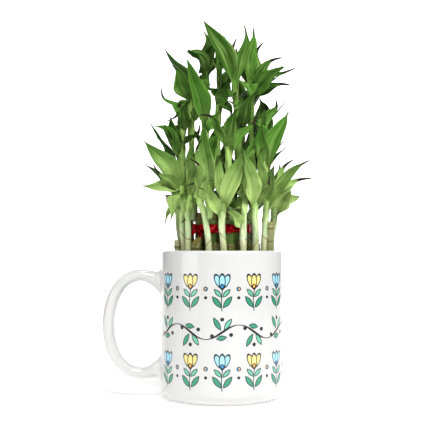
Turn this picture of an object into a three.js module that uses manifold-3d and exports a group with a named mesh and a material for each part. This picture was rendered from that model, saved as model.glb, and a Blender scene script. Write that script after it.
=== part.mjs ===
// Lucky bamboo in a mug: cut canes standing in pebbles, each with one leafy shoot, the inner
// ring of canes tied with a ribbon. Millimetres, +Z up, the origin at the middle of the mug's
// base, the handle towards -X and the plant's front towards -Y.
import * as THREE from 'three';
import { mergeVertices } from 'three/addons/utils/BufferGeometryUtils.js';
import Module from 'manifold-3d';

const wasm = await Module();
wasm.setup();

// ---------------------------------------------------------------- driving dimensions
const GAP = 0.3; // clearance between neighbouring pieces
const LEAST_EDGE = 0.01;

const MUG_RADIUS = 41;
const MUG_HEIGHT = 98;
const MUG_WALL = 4;
const MUG_FLOOR = 6;
const MUG_CORNER = 8; // outer radius where the wall meets the base
const MUG_FOOT_WIDTH = 3.5;
const MUG_RECESS = 1.2; // depth of the hollow under the base
const MUG_SIDES = 36;
const HANDLE_WIDTH = 12;
const HANDLE_HALF = 4.2; // half the handle's thickness, seen from the front
const HANDLE_FLARE = 4.4; // how much thicker its ends grow where they meet the wall

const PEBBLE_TOP = 80;
const PEBBLE_RELIEF = 1.6; // height of the stones' tops over the dips between them
const PEBBLE_PITCH = 8;
const PEBBLE_CORNER = 6;

const CANE_RADIUS = 3.2;
const CANE_RING = 0.25; // how far a joint ring stands out
const CANE_RING_SPACING = 17;
const CANE_RING_BELOW_TOP = 4.5;
const CANE_FOOT = 12;
const CANE_SIDES = 7;
const INNER_RADIUS = 15.6; // of the circle on which the inner canes stand
const INNER_TOP = 123;
const CENTRE_TOP = 134;

const RIBBON_LOW = 109;
const RIBBON_HEIGHT = 6.5;
const RIBBON_THICKNESS = 0.8;
const RIBBON_KNOT_ANGLE = 222;

const OUTER_FOOT = 84.5; // heights at which the shoots leave their canes
const INNER_FOOT = 117.5;
const CENTRE_FOOT = 124.5;
const STEM_SIDES = 5;
const STEM_STEPS = 6;
const BACK_GIRTH = [2.4, 1.6]; // radius of a stem at the back, at its foot and its top
const BACK_BOW = 2; // how far such a stem bows outward
const BACK_FAN = 50; // how far round the stem its leaves turn, in degrees
const FRONT_FAN = 30;

const PLANT_TOP = 236; // how far the leaves at the back reach
const PLANT_REACH = 54;
const BLADE_THICKNESS = 0.75;
const BLADE_FOLD = 0.26; // rise of a blade's edges over its midrib, per unit of half width
const BLADE_STEPS = 5;
const NARROW_STEPS = 4;
const BLADE_TIP = 0.5; // least half width
const NARROW_BLADE = 8; // blades up to this width have no fold
const BLADE_WIDEST = 0.38; // how far along its length a blade is widest and bends over
const BLADE_ROOT = 0.25; // share of its width at the root
const BLADE_FULLNESS = 1.45; // how well it keeps its width towards the tip
const BLADE_POINT = 0.95; // how evenly it runs out into the tip
const BLADE_LIFT = 0.45; // rise of its bend for a rise of 1, per unit of length

// Leaves that grow by rule: the low ones spread wide, the high ones stand up.
const RULE_TURN = 12; // least turn from the stem's own heading, in degrees
const RULE_SPREAD = 62; // angle from upright at the bottom
const RULE_SPREAD_FALL = 42; // how much less at the top
const RULE_SPREAD_DRAW = 12;
const RULE_LENGTH = [46, 16]; // least, and how much may be added
const RULE_WIDTH = [8, 4];
const RULE_RISE = [0.3, 0.3];
const RULE_SLENDER = 0.3; // greatest width for its length
const RULE_LEAFY = 0.6; // part of a bare stem that bears leaves
const RULE_TOP = 2; // how far below the stem's end the last one sits

// ---------------------------------------------------------------- finishes
const finish = (color, roughness) => new THREE.MeshStandardMaterial({ color, roughness, metalness: 0 });
const GLAZE = finish(0xf4f4f2, 0.18);
const PEBBLE = finish(0xb9b2a4, 0.6);
const CANE = finish(0x6f7f3a, 0.5);
const LEAF = finish(0x4f8f2f, 0.45);
const SATIN = finish(0x8c0a1e, 0.4);

const radians = THREE.MathUtils.degToRad;
const part = new THREE.Group();

// ---------------------------------------------------------------- solids
// A closed mesh with shared corners, its faces turned outward, as a solid that can be joined and cut.
function solidOf(geometry) {
  const bare = geometry.clone();
  bare.deleteAttribute('normal');
  bare.deleteAttribute('uv');
  const merged = mergeVertices(bare);
  const points = merged.attributes.position.array;
  const corner = (index) => new THREE.Vector3().fromArray(points, 3 * index);
  const faces = [];
  let volume = 0;
  for (let i = 0; i < merged.index.count; i += 3) {
    const [a, b, c] = merged.index.array.slice(i, i + 3);
    if (a !== b && b !== c && c !== a) {
      faces.push([a, b, c]);
      volume += corner(a).dot(corner(b).cross(corner(c)));
    }
  }
  if (volume < 0) faces.forEach((face) => face.reverse());
  const mesh = new wasm.Mesh({
    numProp: 3,
    vertProperties: new Float32Array(points),
    triVerts: new Uint32Array(faces.flat()),
  });
  return new wasm.Manifold(mesh);
}

// Adds a solid as a named mesh, its shortest edges drawn together.
function addPiece(name, solid, material) {
  const { vertProperties, triVerts } = solid.simplify(LEAST_EDGE).getMesh();
  const geometry = new THREE.BufferGeometry();
  geometry.setAttribute('position', new THREE.BufferAttribute(new Float32Array(vertProperties), 3));
  geometry.setIndex(new THREE.BufferAttribute(new Uint32Array(triVerts), 1));
  geometry.computeVertexNormals();
  const mesh = new THREE.Mesh(geometry, material.clone());
  mesh.name = name;
  part.add(mesh);
}

// A closed skin over a row of rings that have equal numbers of points, with flat ends.
function loft(rings) {
  const sides = rings[0].length;
  const points = rings.flat().flatMap((point) => point.toArray());
  const faces = [];
  for (let ring = 0; ring + 1 < rings.length; ring += 1) {
    for (let side = 0; side < sides; side += 1) {
      const a = ring * sides + side;
      const b = ring * sides + ((side + 1) % sides);
      faces.push(a, b, b + sides, a, b + sides, a + sides);
    }
  }
  const last = (rings.length - 1) * sides;
  for (let side = 1; side + 1 < sides; side += 1) {
    faces.push(0, side + 1, side, last, last + side, last + side + 1);
  }
  const geometry = new THREE.BufferGeometry();
  geometry.setAttribute('position', new THREE.Float32BufferAttribute(points, 3));
  geometry.setIndex(faces);
  return geometry;
}

// A profile of [radius, height] points turned round the Z axis.
function turned(profile, sides) {
  const geometry = new THREE.LatheGeometry(profile.map(([r, z]) => new THREE.Vector2(r, z)), sides);
  return geometry.rotateX(Math.PI / 2);
}

// Points of an arc in a profile, with angles in degrees.
function arc(centreX, centreY, radius, from, to, steps) {
  return Array.from({ length: steps + 1 }, (_, i) => {
    const angle = radians(from + ((to - from) * i) / steps);
    return [centreX + radius * Math.cos(angle), centreY + radius * Math.sin(angle)];
  });
}

// ---------------------------------------------------------------- mug
const LIP = MUG_WALL / 2;
const BORE = MUG_RADIUS - MUG_WALL;
const LIP_CENTRE = [MUG_RADIUS - LIP, MUG_HEIGHT - LIP];

function mugBody() {
  const foot = MUG_RADIUS - MUG_CORNER;
  return solidOf(turned([
    [0, MUG_RECESS],
    [foot - MUG_FOOT_WIDTH, MUG_RECESS],
    [foot - MUG_FOOT_WIDTH, 0],
    ...arc(foot, MUG_CORNER, MUG_CORNER, -90, 0, 4),
    ...arc(...LIP_CENTRE, LIP, 0, 90, 2),
    [0, MUG_HEIGHT],
  ], MUG_SIDES));
}

function mugHollow() {
  const corner = PEBBLE_CORNER;
  return solidOf(turned([
    [0, MUG_FLOOR],
    ...arc(BORE - corner, MUG_FLOOR + corner, corner, -90, 0, 2),
    ...arc(...LIP_CENTRE, LIP, 180, 90, 2),
    [MUG_RADIUS - LIP, MUG_HEIGHT + LIP],
    [0, MUG_HEIGHT + LIP],
  ], MUG_SIDES));
}

// The handle's centre line from its upper root, out and round, to its lower root, as [x, z].
const HANDLE_LINE = [
  [-38, 75], [-45.5, 79.7], [-55, 81.8], [-64.5, 78.4], [-71.5, 69.5], [-75.4, 56.5],
  [-75.6, 42], [-71.8, 28.5], [-63.5, 19], [-54, 16.2], [-45.5, 17.8], [-38, 22],
];
const HANDLE_STEPS = 16;
const HANDLE_SIDES = 10;
const HANDLE_FLARE_REACH = 13; // how far from the wall its ends start to grow

function handle() {
  const line = new THREE.CatmullRomCurve3(HANDLE_LINE.map(([x, z]) => new THREE.Vector3(x, 0, z)));
  const rings = Array.from({ length: HANDLE_STEPS + 1 }, (_, i) => {
    const along = i / HANDLE_STEPS;
    const centre = line.getPoint(along);
    const tangent = line.getTangent(along);
    const nearness = Math.max(0, 1 - (-centre.x - MUG_RADIUS + 2) / HANDLE_FLARE_REACH);
    const outward = new THREE.Vector3(-tangent.z * (1 - nearness), 0, tangent.x).normalize();
    const half = HANDLE_HALF + HANDLE_FLARE * nearness ** 2;
    return Array.from({ length: HANDLE_SIDES }, (__, side) => {
      const angle = (2 * Math.PI * side) / HANDLE_SIDES;
      return centre.clone()
        .addScaledVector(outward, half * Math.cos(angle))
        .add(new THREE.Vector3(0, (HANDLE_WIDTH / 2) * Math.sin(angle), 0));
    });
  });
  return solidOf(loft(rings));
}

addPiece('mug', mugBody().add(handle()).subtract(mugHollow()), GLAZE);

// ---------------------------------------------------------------- where the canes stand
// Each shoot of the plant: where its cane stands, the line of its stem and its leaves. A leaf is
// [height of its root, [tip x, y, z], width, how strongly it rises before it leans out, the
// direction that its face looks to, in degrees to the right of the front].
const onCircle = (radius, angle) => [radius * Math.cos(radians(angle)), radius * Math.sin(radians(angle))];

const FRONT_SHOOTS = [
  {
    name: 'outer_01',
    cane: [-28.5, -4.5, 105],
    girth: [3, 1.8],
    stem: [[-24.5, -10, 99], [-26, -11, 112.5], [-25.5, -11, 126], [-26.5, -11, 136.5], [-25, -11, 143.5]],
    leaves: [
      [136.5, [-51, -24, 139.5], 9, 0.15, 0],
      [139, [-50.5, -17, 169], 12, 0.3, -15],
      [133.5, [-44, -26, 153], 6, 0.2, 10],
      [133, [-32.5, -27, 117], 10, 0.45, -20],
      [127, [-37.5, -8, 115.5], 7, 0.8, -40],
      [135.5, [-14.5, -15, 163.5], 7, 0.3, 25],
      [141.5, [-22, -15, 158], 7, 0.3, 55],
      [139, [-15.5, -5, 154], 5, 0.3, 50],
    ],
  },
  {
    name: 'outer_02',
    cane: [-16.4, -23.9, 104],
    cut: 0.9,
    girth: [2.3, 1.6],
    stem: [[-21.9, -20, 99], [-22, -20, 111], [-22.5, -19, 123], [-21.5, -17, 130.5], [-20.5, -15, 136]],
    leaves: [
      [130.5, [-26, -33, 116], 6, 0.5, 20],
      [133.5, [-16.5, -25, 148], 7, 0.3, 0],
      [134.5, [-21, -8, 164], 8, 0.3, 20],
    ],
  },
  {
    name: 'outer_03',
    cane: [-4.5, -22.5, 103],
    girth: [2.5, 1.6],
    stem: [[-8.5, -28, 99], [-9.5, -29, 109.5], [-11.5, -29, 121], [-14, -28, 128], [-15.5, -27, 134.5]],
    leaves: [
      [134, [-13, -26, 169], 5.5, 0.3, 30],
      [130, [-22.5, -36, 138.5], 6, 0.4, 20],
      [132.5, [-20.5, -22, 156], 6, 0.3, 30],
      [127, [-6, -34, 142.5], 7, 0.4, 0],
    ],
  },
  {
    name: 'outer_04',
    cane: [5.5, -24.5, 102],
    girth: [2.4, 1.6],
    stem: [[1, -30, 99], [0, -31, 109.5], [0, -31, 119], [0.5, -30, 126], [2, -29, 131.5]],
    leaves: [
      [121.5, [15.5, -38, 161], 12.5, 0.3, -20],
      [118, [-14.5, -37, 137.5], 8, 0.35, 0],
      [128, [-1, -24, 156], 8, 0.3, 10],
    ],
  },
  {
    name: 'outer_05',
    cane: [12.5, -21.4, 104],
    girth: [2.5, 1.7],
    stem: [[13.5, -28, 99], [13.5, -29, 111], [14, -29, 122], [14.5, -28, 128], [16, -27, 133.5]],
    leaves: [
      [127, [4, -38, 127], 8, 0.35, 0],
      [111.5, [3, -37, 122.5], 7, 0.2, 0],
      [129.5, [11.5, -22, 140.5], 5, 0.3, 10],
      [131, [16.5, -20, 152.5], 7, 0.3, 20],
    ],
  },
  {
    name: 'outer_06',
    cane: [19.5, -16.6, 103],
    girth: [2.5, 1.7],
    stem: [[21.5, -23, 99], [21.5, -24, 111], [21, -24, 120], [21, -23, 126.5], [22.5, -22, 131.5]],
    leaves: [
      [122, [12, -34, 162.5], 12, 0.35, 20],
      [128.5, [25.5, -18, 163], 7, 0.3, 30],
      [126.5, [30.5, -26, 145.5], 6, 0.3, -20],
    ],
  },
  {
    name: 'outer_07',
    cane: [31, -8.6, 117],
    girth: [2.3, 1.6],
    stem: [[27, -14.2, 99], [27.5, -15.4, 110], [28, -16, 119.5], [28.5, -16, 127], [29, -16, 132]],
    leaves: [
      [123, [55.5, -26, 155.5], 7, 0.45, -10],
      [128, [58.5, -8, 145.5], 6, 0.5, 0],
      [131, [46.5, 0, 157.5], 5, 0.3, 20],
      [130, [33.5, -22, 152.5], 7, 0.3, -20],
    ],
  },
  {
    name: 'outer_08',
    cane: [29.6, 5.2, 104],
    girth: [2.4, 1.7],
    stem: [[32, -1.4, 100.5], [33.5, -1.2, 110.5], [34.5, -1.5, 120], [34.5, -2, 126], [35, -2.5, 131.5]],
    leaves: [
      [121, [45, -26, 141], 14, 0.5, 10],
      [129, [46.5, 9, 152.5], 6, 0.35, 0],
      [129, [38.5, -2, 155], 7, 0.3, -20],
      [125.5, [53, 14, 135], 8, 0.5, 10],
    ],
  },
  {
    name: 'inner_01',
    cane: [...onCircle(INNER_RADIUS, 199), INNER_TOP],
    girth: [2.3, 1.6],
    stem: [[-20.5, -7, 118], [-25, -3, 137.5], [-26.5, -3, 155.5], [-26.5, -4, 170.5], [-27, -5, 183]],
    leaves: [
      [181.5, [-40.5, -5, 205.5], 6, 0.35, 45],
      [165.5, [-33.5, -15, 185], 7, 0.3, -20],
      [166.5, [-43.5, -17, 178], 7, 0.3, -10],
      [157, [-37.5, -22, 178.5], 7, 0.35, 10],
      [181, [-27, -10, 195.5], 5, 0.3, 0],
      [172.5, [-21, -14, 196.5], 8, 0.4, 25],
      [166, [-14.5, -17, 179.5], 5, 0.3, 40],
    ],
  },
  {
    name: 'inner_02',
    cane: [...onCircle(INNER_RADIUS, 247), INNER_TOP],
    girth: [2.3, 1.7],
    stem: [[-8, -19, 121.5], [-9, -20, 137], [-10.5, -19, 153], [-10.5, -17, 166.5], [-10.5, -15, 177.5]],
    leaves: [
      [177, [-22, -20, 217.5], 12.5, 0.35, 20],
      [127.5, [-11.5, -27, 180.5], 10, 0.35, 0],
      [163, [-16, -30, 160.5], 6, 0.4, 40],
      [174.5, [-2, -16, 188], 7, 0.3, -10],
      [143.5, [-4, -12, 178], 9, 0.3, 0],
    ],
  },
  {
    name: 'inner_03',
    cane: [...onCircle(INNER_RADIUS, 288), INNER_TOP],
    girth: [2.3, 1.7],
    stem: [[6.5, -20, 121.5], [5, -21, 137], [4, -20, 151], [4, -18, 161.5], [2.5, -16, 169.5]],
    leaves: [
      [163, [-14, -24, 184], 6, 0.55, 0],
      [160.5, [9.5, -24, 189], 10, 0.35, -20],
      [158.5, [23.5, -28, 186], 6, 0.25, 25],
      [167.5, [2.5, -8, 185], 6, 0.3, 20],
    ],
  },
  {
    name: 'inner_04',
    cane: [...onCircle(INNER_RADIUS, 333), INNER_TOP],
    girth: [2.3, 1.6],
    stem: [[22, -11, 120.5], [26.5, -13, 134], [28, -13, 149], [28, -12, 163.5], [27.5, -10, 178.5]],
    leaves: [
      [145.5, [26, -22, 180.5], 9, 0.5, -10],
      [146.5, [43.5, -10, 189], 12, 0.5, -20],
      [157, [36.5, 0, 180.5], 5, 0.4, 30],
      [176.5, [36, 3, 199], 4.5, 0.3, 45],
      [163.5, [20.5, -22, 181], 9, 0.4, 10],
      [170.5, [13.5, -24, 151], 8, 0.8, 0],
      [175.5, [26, -12, 193.5], 6, 0.3, -30],
    ],
  },
  {
    name: 'inner_05',
    cane: [...onCircle(INNER_RADIUS, 10), INNER_TOP],
    girth: [2.3, 1.5],
    stem: [[22, 4, 124], [21.5, 4, 145.5], [20, 2, 165], [19, -2, 184.5], [18.5, -5, 210.5]],
    leaves: [
      [209.5, [20.5, -8, 244.5], 9, 0.3, 0],
      [207, [27.5, 0, 237], 5.5, 0.3, 20],
      [205.5, [39.5, -6, 225.5], 6, 0.3, 0],
      [207, [47.5, -15, 216.5], 6, 0.45, -20],
      [197.5, [40, -20, 216.5], 9, 0.3, 10],
      [198.5, [44.5, -8, 207], 6, 0.4, 0],
      [205.5, [17.5, -28, 193.5], 12, 0.8, 0],
      [190, [7, -20, 188.5], 7, 0.4, 0],
    ],
  },
  {
    name: 'inner_07',
    facing: 75,
    cane: [...onCircle(INNER_RADIUS, 110), INNER_TOP],
    girth: [2.3, 1.5],
    stem: [[-6.5, 17.5, 124.5], [-9, 15, 146], [-11, 11, 173], [-11.5, 5, 202.5], [-12, 3, 221.5]],
    leaves: [
      [220.5, [-12.5, -4, 243.5], 8, 0.3, 20],
      [214, [-21.5, -30, 225.5], 11, 0.45, -10],
      [217.5, [-3, -8, 234.5], 8, 0.35, 10],
      [211, [-10, -20, 198.5], 9, 0.55, 0],
      [210, [-19.5, 8, 210.5], 7, 0.5, 0],
    ],
  },
  {
    name: 'inner_08',
    facing: 60,
    cane: [...onCircle(INNER_RADIUS, 150), INNER_TOP],
    girth: [2.3, 1.6],
    stem: [[-18.8, 10.9, 124], [-19.5, 9, 145.5], [-20.5, 6, 165.5], [-21, 3, 185.5], [-21, 1, 200]],
    leaves: [
      [197, [-33, -4, 221], 11, 0.3, -10],
      [196, [-37, -10, 184], 5, 0.8, 0],
      [186.5, [-25.5, -18, 178], 8, 0.8, -10],
      [196, [-20.5, 6, 219.5], 7, 0.3, 0],
      [182, [-12, -6, 200], 7, 0.35, -20],
    ],
  },
  {
    name: 'centre_01',
    cane: [3, -4, CENTRE_TOP],
    girth: [2.4, 1.9],
    stem: [[4.5, -10, 128], [9, -10, 147.5], [10.5, -9, 170.5], [9.5, -8, 193.5], [8.5, -8, 210]],
    leaves: [
      [207.5, [-12, -16, 247], 12, 0.35, -10],
      [207.5, [14.5, -10, 245], 7, 0.3, 10],
      [207.5, [9.5, 2, 240], 5, 0.3, 0],
      [172, [23, -28, 197.5], 8, 0.35, 20],
      [184, [5.5, -30, 183], 8, 0.5, 0],
      [200.5, [0.5, -20, 197.5], 6, 0.5, -20],
    ],
  },
  {
    name: 'centre_02',
    cane: [-2.5, 4.5, CENTRE_TOP],
    girth: [2.2, 1.5],
    stem: [[0, 9, 129], [-2, 8, 152.5], [-3, 6, 179], [-2, 4, 205.5], [-2, 3, 223]],
    leaves: [
      [191, [4.5, -4, 213.5], 8, 0.35, 0],
      [199, [-7.5, -4, 211.5], 6, 0.5, 20],
      [196, [4.5, -6, 185], 6, 0.8, -10],
      [220.5, [1, 10, 243.5], 7, 0.3, 0],
      [219, [-7, 8, 232], 6, 0.4, 0],
      [205.5, [9.5, 14, 221], 7, 0.5, 0],
    ],
  },
];

// Shoots at the back grow by rule: [name, angle of the cane and radius of its circle, the same for
// the stem, height of the stem's top, number of leaves].
const BACK_SHOOTS = [
  ['outer_09', 33, 27, 46.5, 28.5, 146, 4],
  ['outer_10', 63, 27, 76.5, 28.5, 138, 4],
  ['outer_11', 93, 27, 106.5, 28.5, 150, 4],
  ['outer_12', 123, 27, 136.5, 28.5, 140, 4],
  ['outer_13', 152, 27, 165.5, 28.5, 148, 4],
  ['inner_06', 55, INNER_RADIUS, 55, 21.9, 188, 6],
];

const RINGS = {
  outer: { top: 103, foot: OUTER_FOOT, clear: 99, leavesBehind: 0 },
  inner: { top: INNER_TOP, foot: INNER_FOOT, clear: 121, leavesBehind: 2 },
  centre: { top: CENTRE_TOP, foot: CENTRE_FOOT, clear: 128, leavesBehind: 2 },
};
const ringOf = (shoot) => RINGS[shoot.name.split('_')[0]];

// ---------------------------------------------------------------- growth
// A repeatable draw between 0 and 1.
const DRAW_STEP = 16807;
const DRAW_MODULUS = 2147483647;
let drawn = 20;
function draw() {
  drawn = (drawn * DRAW_STEP) % DRAW_MODULUS;
  return drawn / DRAW_MODULUS;
}

function backShoot([name, caneAngle, caneCircle, stemAngle, stemCircle, top, count]) {
  const shoot = { name, girth: BACK_GIRTH, leaves: [], ruleLeaves: count, facing: stemAngle, fan: BACK_FAN };
  const ring = ringOf(shoot);
  shoot.cane = [...onCircle(caneCircle, caneAngle), ring.top];
  shoot.stem = [0, 1 / 3, 2 / 3, 1].map((up) => {
    const bow = BACK_BOW * Math.sin(Math.PI * up);
    return [...onCircle(stemCircle + bow, stemAngle), ring.clear + (top - ring.clear) * up];
  });
  return shoot;
}

const shoots = [
  ...FRONT_SHOOTS.map((shoot) => ({
    facing: 90,
    fan: FRONT_FAN,
    ruleLeaves: ringOf(shoot).leavesBehind,
    ...shoot,
  })),
  ...BACK_SHOOTS.map(backShoot),
];

// The direction from a cane to the foot of its stem.
function bearing({ cane: [x, y], stem }) {
  return Math.atan2(stem[0][1] - y, stem[0][0] - x);
}

// The stem's line: beside its cane from the foot up to the cane's cut end, then through its points.
function stemLine(shoot) {
  const [x, y, top] = shoot.cane;
  const ring = ringOf(shoot);
  const beside = CANE_RADIUS + CANE_RING + GAP + shoot.girth[0];
  const away = bearing(shoot);
  const foot = [x + beside * Math.cos(away), y + beside * Math.sin(away), ring.foot];
  const over = ring.foot < MUG_HEIGHT ? shoot.stem[0] : [foot[0], foot[1], top + 1];
  const points = [foot, over, ...shoot.stem.slice(1)].map((point) => new THREE.Vector3(...point));
  return new THREE.CatmullRomCurve3(points, false, 'catmullrom', 0.5);
}

// How far along its stem a height lies, from 0 to 1, found by halving.
const HALVINGS = 40;

function alongAt(line, height) {
  let low = 0;
  let high = 1;
  for (let i = 0; i < HALVINGS; i += 1) {
    const middle = (low + high) / 2;
    if (line.getPoint(middle).z < height) low = middle;
    else high = middle;
  }
  return low;
}

const stemRadius = (shoot, along) => shoot.girth[0] + (shoot.girth[1] - shoot.girth[0]) * along;

const HAND_FACE_UP = 0.35; // how far a hand-placed leaf's face turns up
const RULE_FACE = [-0.6, 0.8]; // of a rule's leaf: along its heading, and up

function handLeaf(shoot, [height, tip, width, rise, look]) {
  const face = new THREE.Vector3(Math.sin(radians(look)), -Math.cos(radians(look)), HAND_FACE_UP).normalize();
  return { shoot, height, tip: new THREE.Vector3(...tip), width, rise, face };
}

// A leaf that grows by rule: the lower it sits, the more it spreads.
function ruleLeaf(shoot, index) {
  const line = shoot.line;
  const heights = shoot.leaves.map((leaf) => leaf[0]);
  const top = line.getPoint(1).z;
  const low = heights.length ? Math.min(...heights) : top - RULE_LEAFY * (top - ringOf(shoot).clear);
  const up = (index + 0.5) / shoot.ruleLeaves;
  const side = index % 2 ? 1 : -1;
  const heading = shoot.facing + side * (RULE_TURN + shoot.fan * draw());
  const spread = radians(RULE_SPREAD - RULE_SPREAD_FALL * up + RULE_SPREAD_DRAW * (draw() - 0.5));
  const height = low + (top - RULE_TOP - low) * up;
  const root = line.getPoint(alongAt(line, height));
  const room = Math.min(
    (PLANT_REACH - Math.hypot(root.x, root.y)) / Math.sin(spread),
    (PLANT_TOP - height) / Math.cos(spread),
  );
  const length = Math.min(RULE_LENGTH[0] + RULE_LENGTH[1] * draw(), room);
  return {
    shoot,
    height,
    heading,
    spread,
    length,
    width: Math.min(RULE_WIDTH[0] + RULE_WIDTH[1] * draw(), RULE_SLENDER * length),
    rise: RULE_RISE[0] + RULE_RISE[1] * draw(),
  };
}

// The same leaf swung aside: a hand-placed tip moves in depth, a rule's leaf turns round its stem.
function swung(leaf, swing, shift) {
  const height = leaf.height + shift;
  const root = leaf.shoot.line.getPoint(alongAt(leaf.shoot.line, height));
  if (leaf.tip) {
    return { ...leaf, root, end: leaf.tip.clone().add(new THREE.Vector3(0, swing, 0)) };
  }
  const heading = radians(leaf.heading + TURN_PER_SWING * swing);
  const out = new THREE.Vector3(Math.cos(heading), Math.sin(heading), 0);
  const end = root.clone().addScaledVector(out, leaf.length * Math.sin(leaf.spread));
  end.z += leaf.length * Math.cos(leaf.spread);
  const face = out.clone().multiplyScalar(RULE_FACE[0]).setZ(RULE_FACE[1]);
  return { ...leaf, root, end, face };
}

// How wide a blade is along its length: a narrow sheath, widest at a third, then a long taper.
function bladeHalf(leaf, along) {
  const opening = Math.min(along / BLADE_WIDEST, 1);
  const sheath = BLADE_ROOT + (1 - BLADE_ROOT) * opening * opening * (3 - 2 * opening);
  const taper = (1 - along) ** BLADE_POINT * (1 + BLADE_FULLNESS * along);
  return Math.max(BLADE_TIP, 0.5 * leaf.width * sheath * taper);
}

// A blade's middle line, its sideways direction and the direction of its upper face.
function bladeFrame(leaf, along) {
  const { root, end, rise, face } = leaf;
  const span = end.clone().sub(root);
  const bend = root.clone().addScaledVector(span, BLADE_WIDEST);
  bend.z += BLADE_LIFT * rise * span.length();
  const back = 1 - along;
  const centre = root.clone().multiplyScalar(back * back)
    .addScaledVector(bend, 2 * along * back)
    .addScaledVector(end, along * along);
  const tangent = bend.clone().sub(root).multiplyScalar(back)
    .addScaledVector(end.clone().sub(bend), along).normalize();
  const side = tangent.clone().cross(face).normalize();
  return { centre, side, normal: side.clone().cross(tangent) };
}

// A point of the blade, from -1 at its left edge to 1 at its right.
function bladePoint(leaf, frame, along, across) {
  const half = bladeHalf(leaf, along);
  const fold = leaf.width > NARROW_BLADE ? BLADE_FOLD : 0;
  return frame.centre.clone()
    .addScaledVector(frame.side, half * across)
    .addScaledVector(frame.normal, fold * half * Math.abs(across));
}

// ---------------------------------------------------------------- keeping leaves clear
// Everything already in place is held as points, each with the distance to keep from it.
const CELL = 6;
const PROBE_STEP = 2;
const LEAF_REACH = 1.15;
const ROUND_REACH = 0.15; // added to the radius of a stem or cane
const ROOT_STRETCH = 0.5; // part of a leaf that may touch its own shoot
const LOWEST_LEAF = MUG_HEIGHT + 2.5;
const SWING_STEP = 3;
const SWINGS = 8;
const SHIFTS = [0, 2.5, -2.5, 5, -5];
const TURN_PER_SWING = 2.5; // degrees per mm
const LEAF_SLACK = 1.1; // length of a bent leaf for the distance from its root to its tip
const STEM_PROBES = 60;
const taken = new Map();

const cellOf = (value) => Math.floor(value / CELL);

function take(point, reach, owner, along) {
  const key = `${cellOf(point.x)},${cellOf(point.y)},${cellOf(point.z)}`;
  if (!taken.has(key)) taken.set(key, []);
  taken.get(key).push({ point, reach, owner, along });
}

function isFree(point, reach, owner, along) {
  const [x, y, z] = [cellOf(point.x), cellOf(point.y), cellOf(point.z)];
  for (let dx = -1; dx <= 1; dx += 1) {
    for (let dy = -1; dy <= 1; dy += 1) {
      for (let dz = -1; dz <= 1; dz += 1) {
        for (const other of taken.get(`${x + dx},${y + dy},${z + dz}`) ?? []) {
          const joined = other.owner === owner && (along < ROOT_STRETCH || other.along < ROOT_STRETCH);
          if (!joined && point.distanceTo(other.point) < reach + other.reach) return false;
        }
      }
    }
  }
  return true;
}

function leafProbes(leaf) {
  const rows = Math.ceil((LEAF_SLACK * leaf.end.distanceTo(leaf.root)) / PROBE_STEP);
  const columns = Math.ceil(leaf.width / PROBE_STEP);
  const probes = [];
  for (let row = 0; row <= rows; row += 1) {
    const along = row / rows;
    const frame = bladeFrame(leaf, along);
    for (let column = 0; column <= columns; column += 1) {
      probes.push({ point: bladePoint(leaf, frame, along, (2 * column) / columns - 1), along });
    }
  }
  return probes;
}

function settle(leaf) {
  for (const shift of SHIFTS) {
    for (let step = 0; step <= 2 * SWINGS; step += 1) {
      const swing = SWING_STEP * Math.ceil(step / 2) * (step % 2 ? 1 : -1);
      const trial = swung(leaf, swing, shift);
      const probes = leafProbes(trial);
      const clear = probes.every(({ point, along }) => (
        (point.z > LOWEST_LEAF || along < ROOT_STRETCH) && isFree(point, LEAF_REACH, leaf.shoot.name, along)
      ));
      if (clear) {
        probes.forEach(({ point, along }) => take(point, LEAF_REACH, leaf.shoot.name, along));
        return trial;
      }
    }
  }
  return null;
}

for (const shoot of shoots) {
  shoot.line = stemLine(shoot);
  for (let i = 0; i <= STEM_PROBES; i += 1) {
    const along = i / STEM_PROBES;
    take(shoot.line.getPoint(along), stemRadius(shoot, along) + ROUND_REACH, shoot.name, 0);
  }
  const [x, y, top] = shoot.cane;
  for (let z = PEBBLE_TOP; z <= top; z += PROBE_STEP) {
    take(new THREE.Vector3(x, y, z), CANE_RADIUS + ROUND_REACH, 'cane', 1);
  }
}
for (const shoot of shoots) {
  shoot.grown = shoot.leaves.map((leaf) => settle(handLeaf(shoot, leaf))).filter(Boolean);
}
for (const shoot of shoots) {
  for (let index = 0; index < shoot.ruleLeaves; index += 1) {
    const leaf = settle(ruleLeaf(shoot, index));
    if (leaf) shoot.grown.push(leaf);
  }
}

// ---------------------------------------------------------------- canes
// A corner of each cane's outline faces its shoot, so that the two lie close.
const RING_HALF = 1;
const RINGS_ABOVE = PEBBLE_TOP + 6;
const HOLE_TOP = PEBBLE_TOP + 5;

function caneSolid(shoot, profile, cut = 0) {
  const geometry = turned(profile, CANE_SIDES).rotateZ(bearing(shoot) + Math.PI / 2);
  const points = geometry.attributes.position;
  const [x, y, top] = shoot.cane;
  const outward = new THREE.Vector2(x, y).normalize();
  for (let i = 0; i < points.count; i += 1) {
    const isTop = points.getZ(i) > top - GAP;
    const slope = cut * (outward.x * points.getX(i) + outward.y * points.getY(i));
    points.setXYZ(i, points.getX(i) + x, points.getY(i) + y, points.getZ(i) - (isTop ? slope : 0));
  }
  return solidOf(geometry);
}

function cane(shoot) {
  const top = shoot.cane[2];
  const rings = [];
  for (let z = top - CANE_RING_BELOW_TOP; z > RINGS_ABOVE; z -= CANE_RING_SPACING) {
    rings.unshift([CANE_RADIUS, z - RING_HALF], [CANE_RADIUS + CANE_RING, z], [CANE_RADIUS, z + RING_HALF]);
  }
  const profile = [[0, CANE_FOOT], [CANE_RADIUS, CANE_FOOT], ...rings, [CANE_RADIUS, top], [0, top]];
  return caneSolid(shoot, profile, shoot.cut);
}

function hole(shoot) {
  const [radius, low] = [CANE_RADIUS + GAP, CANE_FOOT - GAP];
  return caneSolid(shoot, [[0, low], [radius, low], [radius, HOLE_TOP], [0, HOLE_TOP]]);
}

shoots.forEach((shoot) => addPiece(`cane_${shoot.name}`, cane(shoot), CANE));

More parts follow.
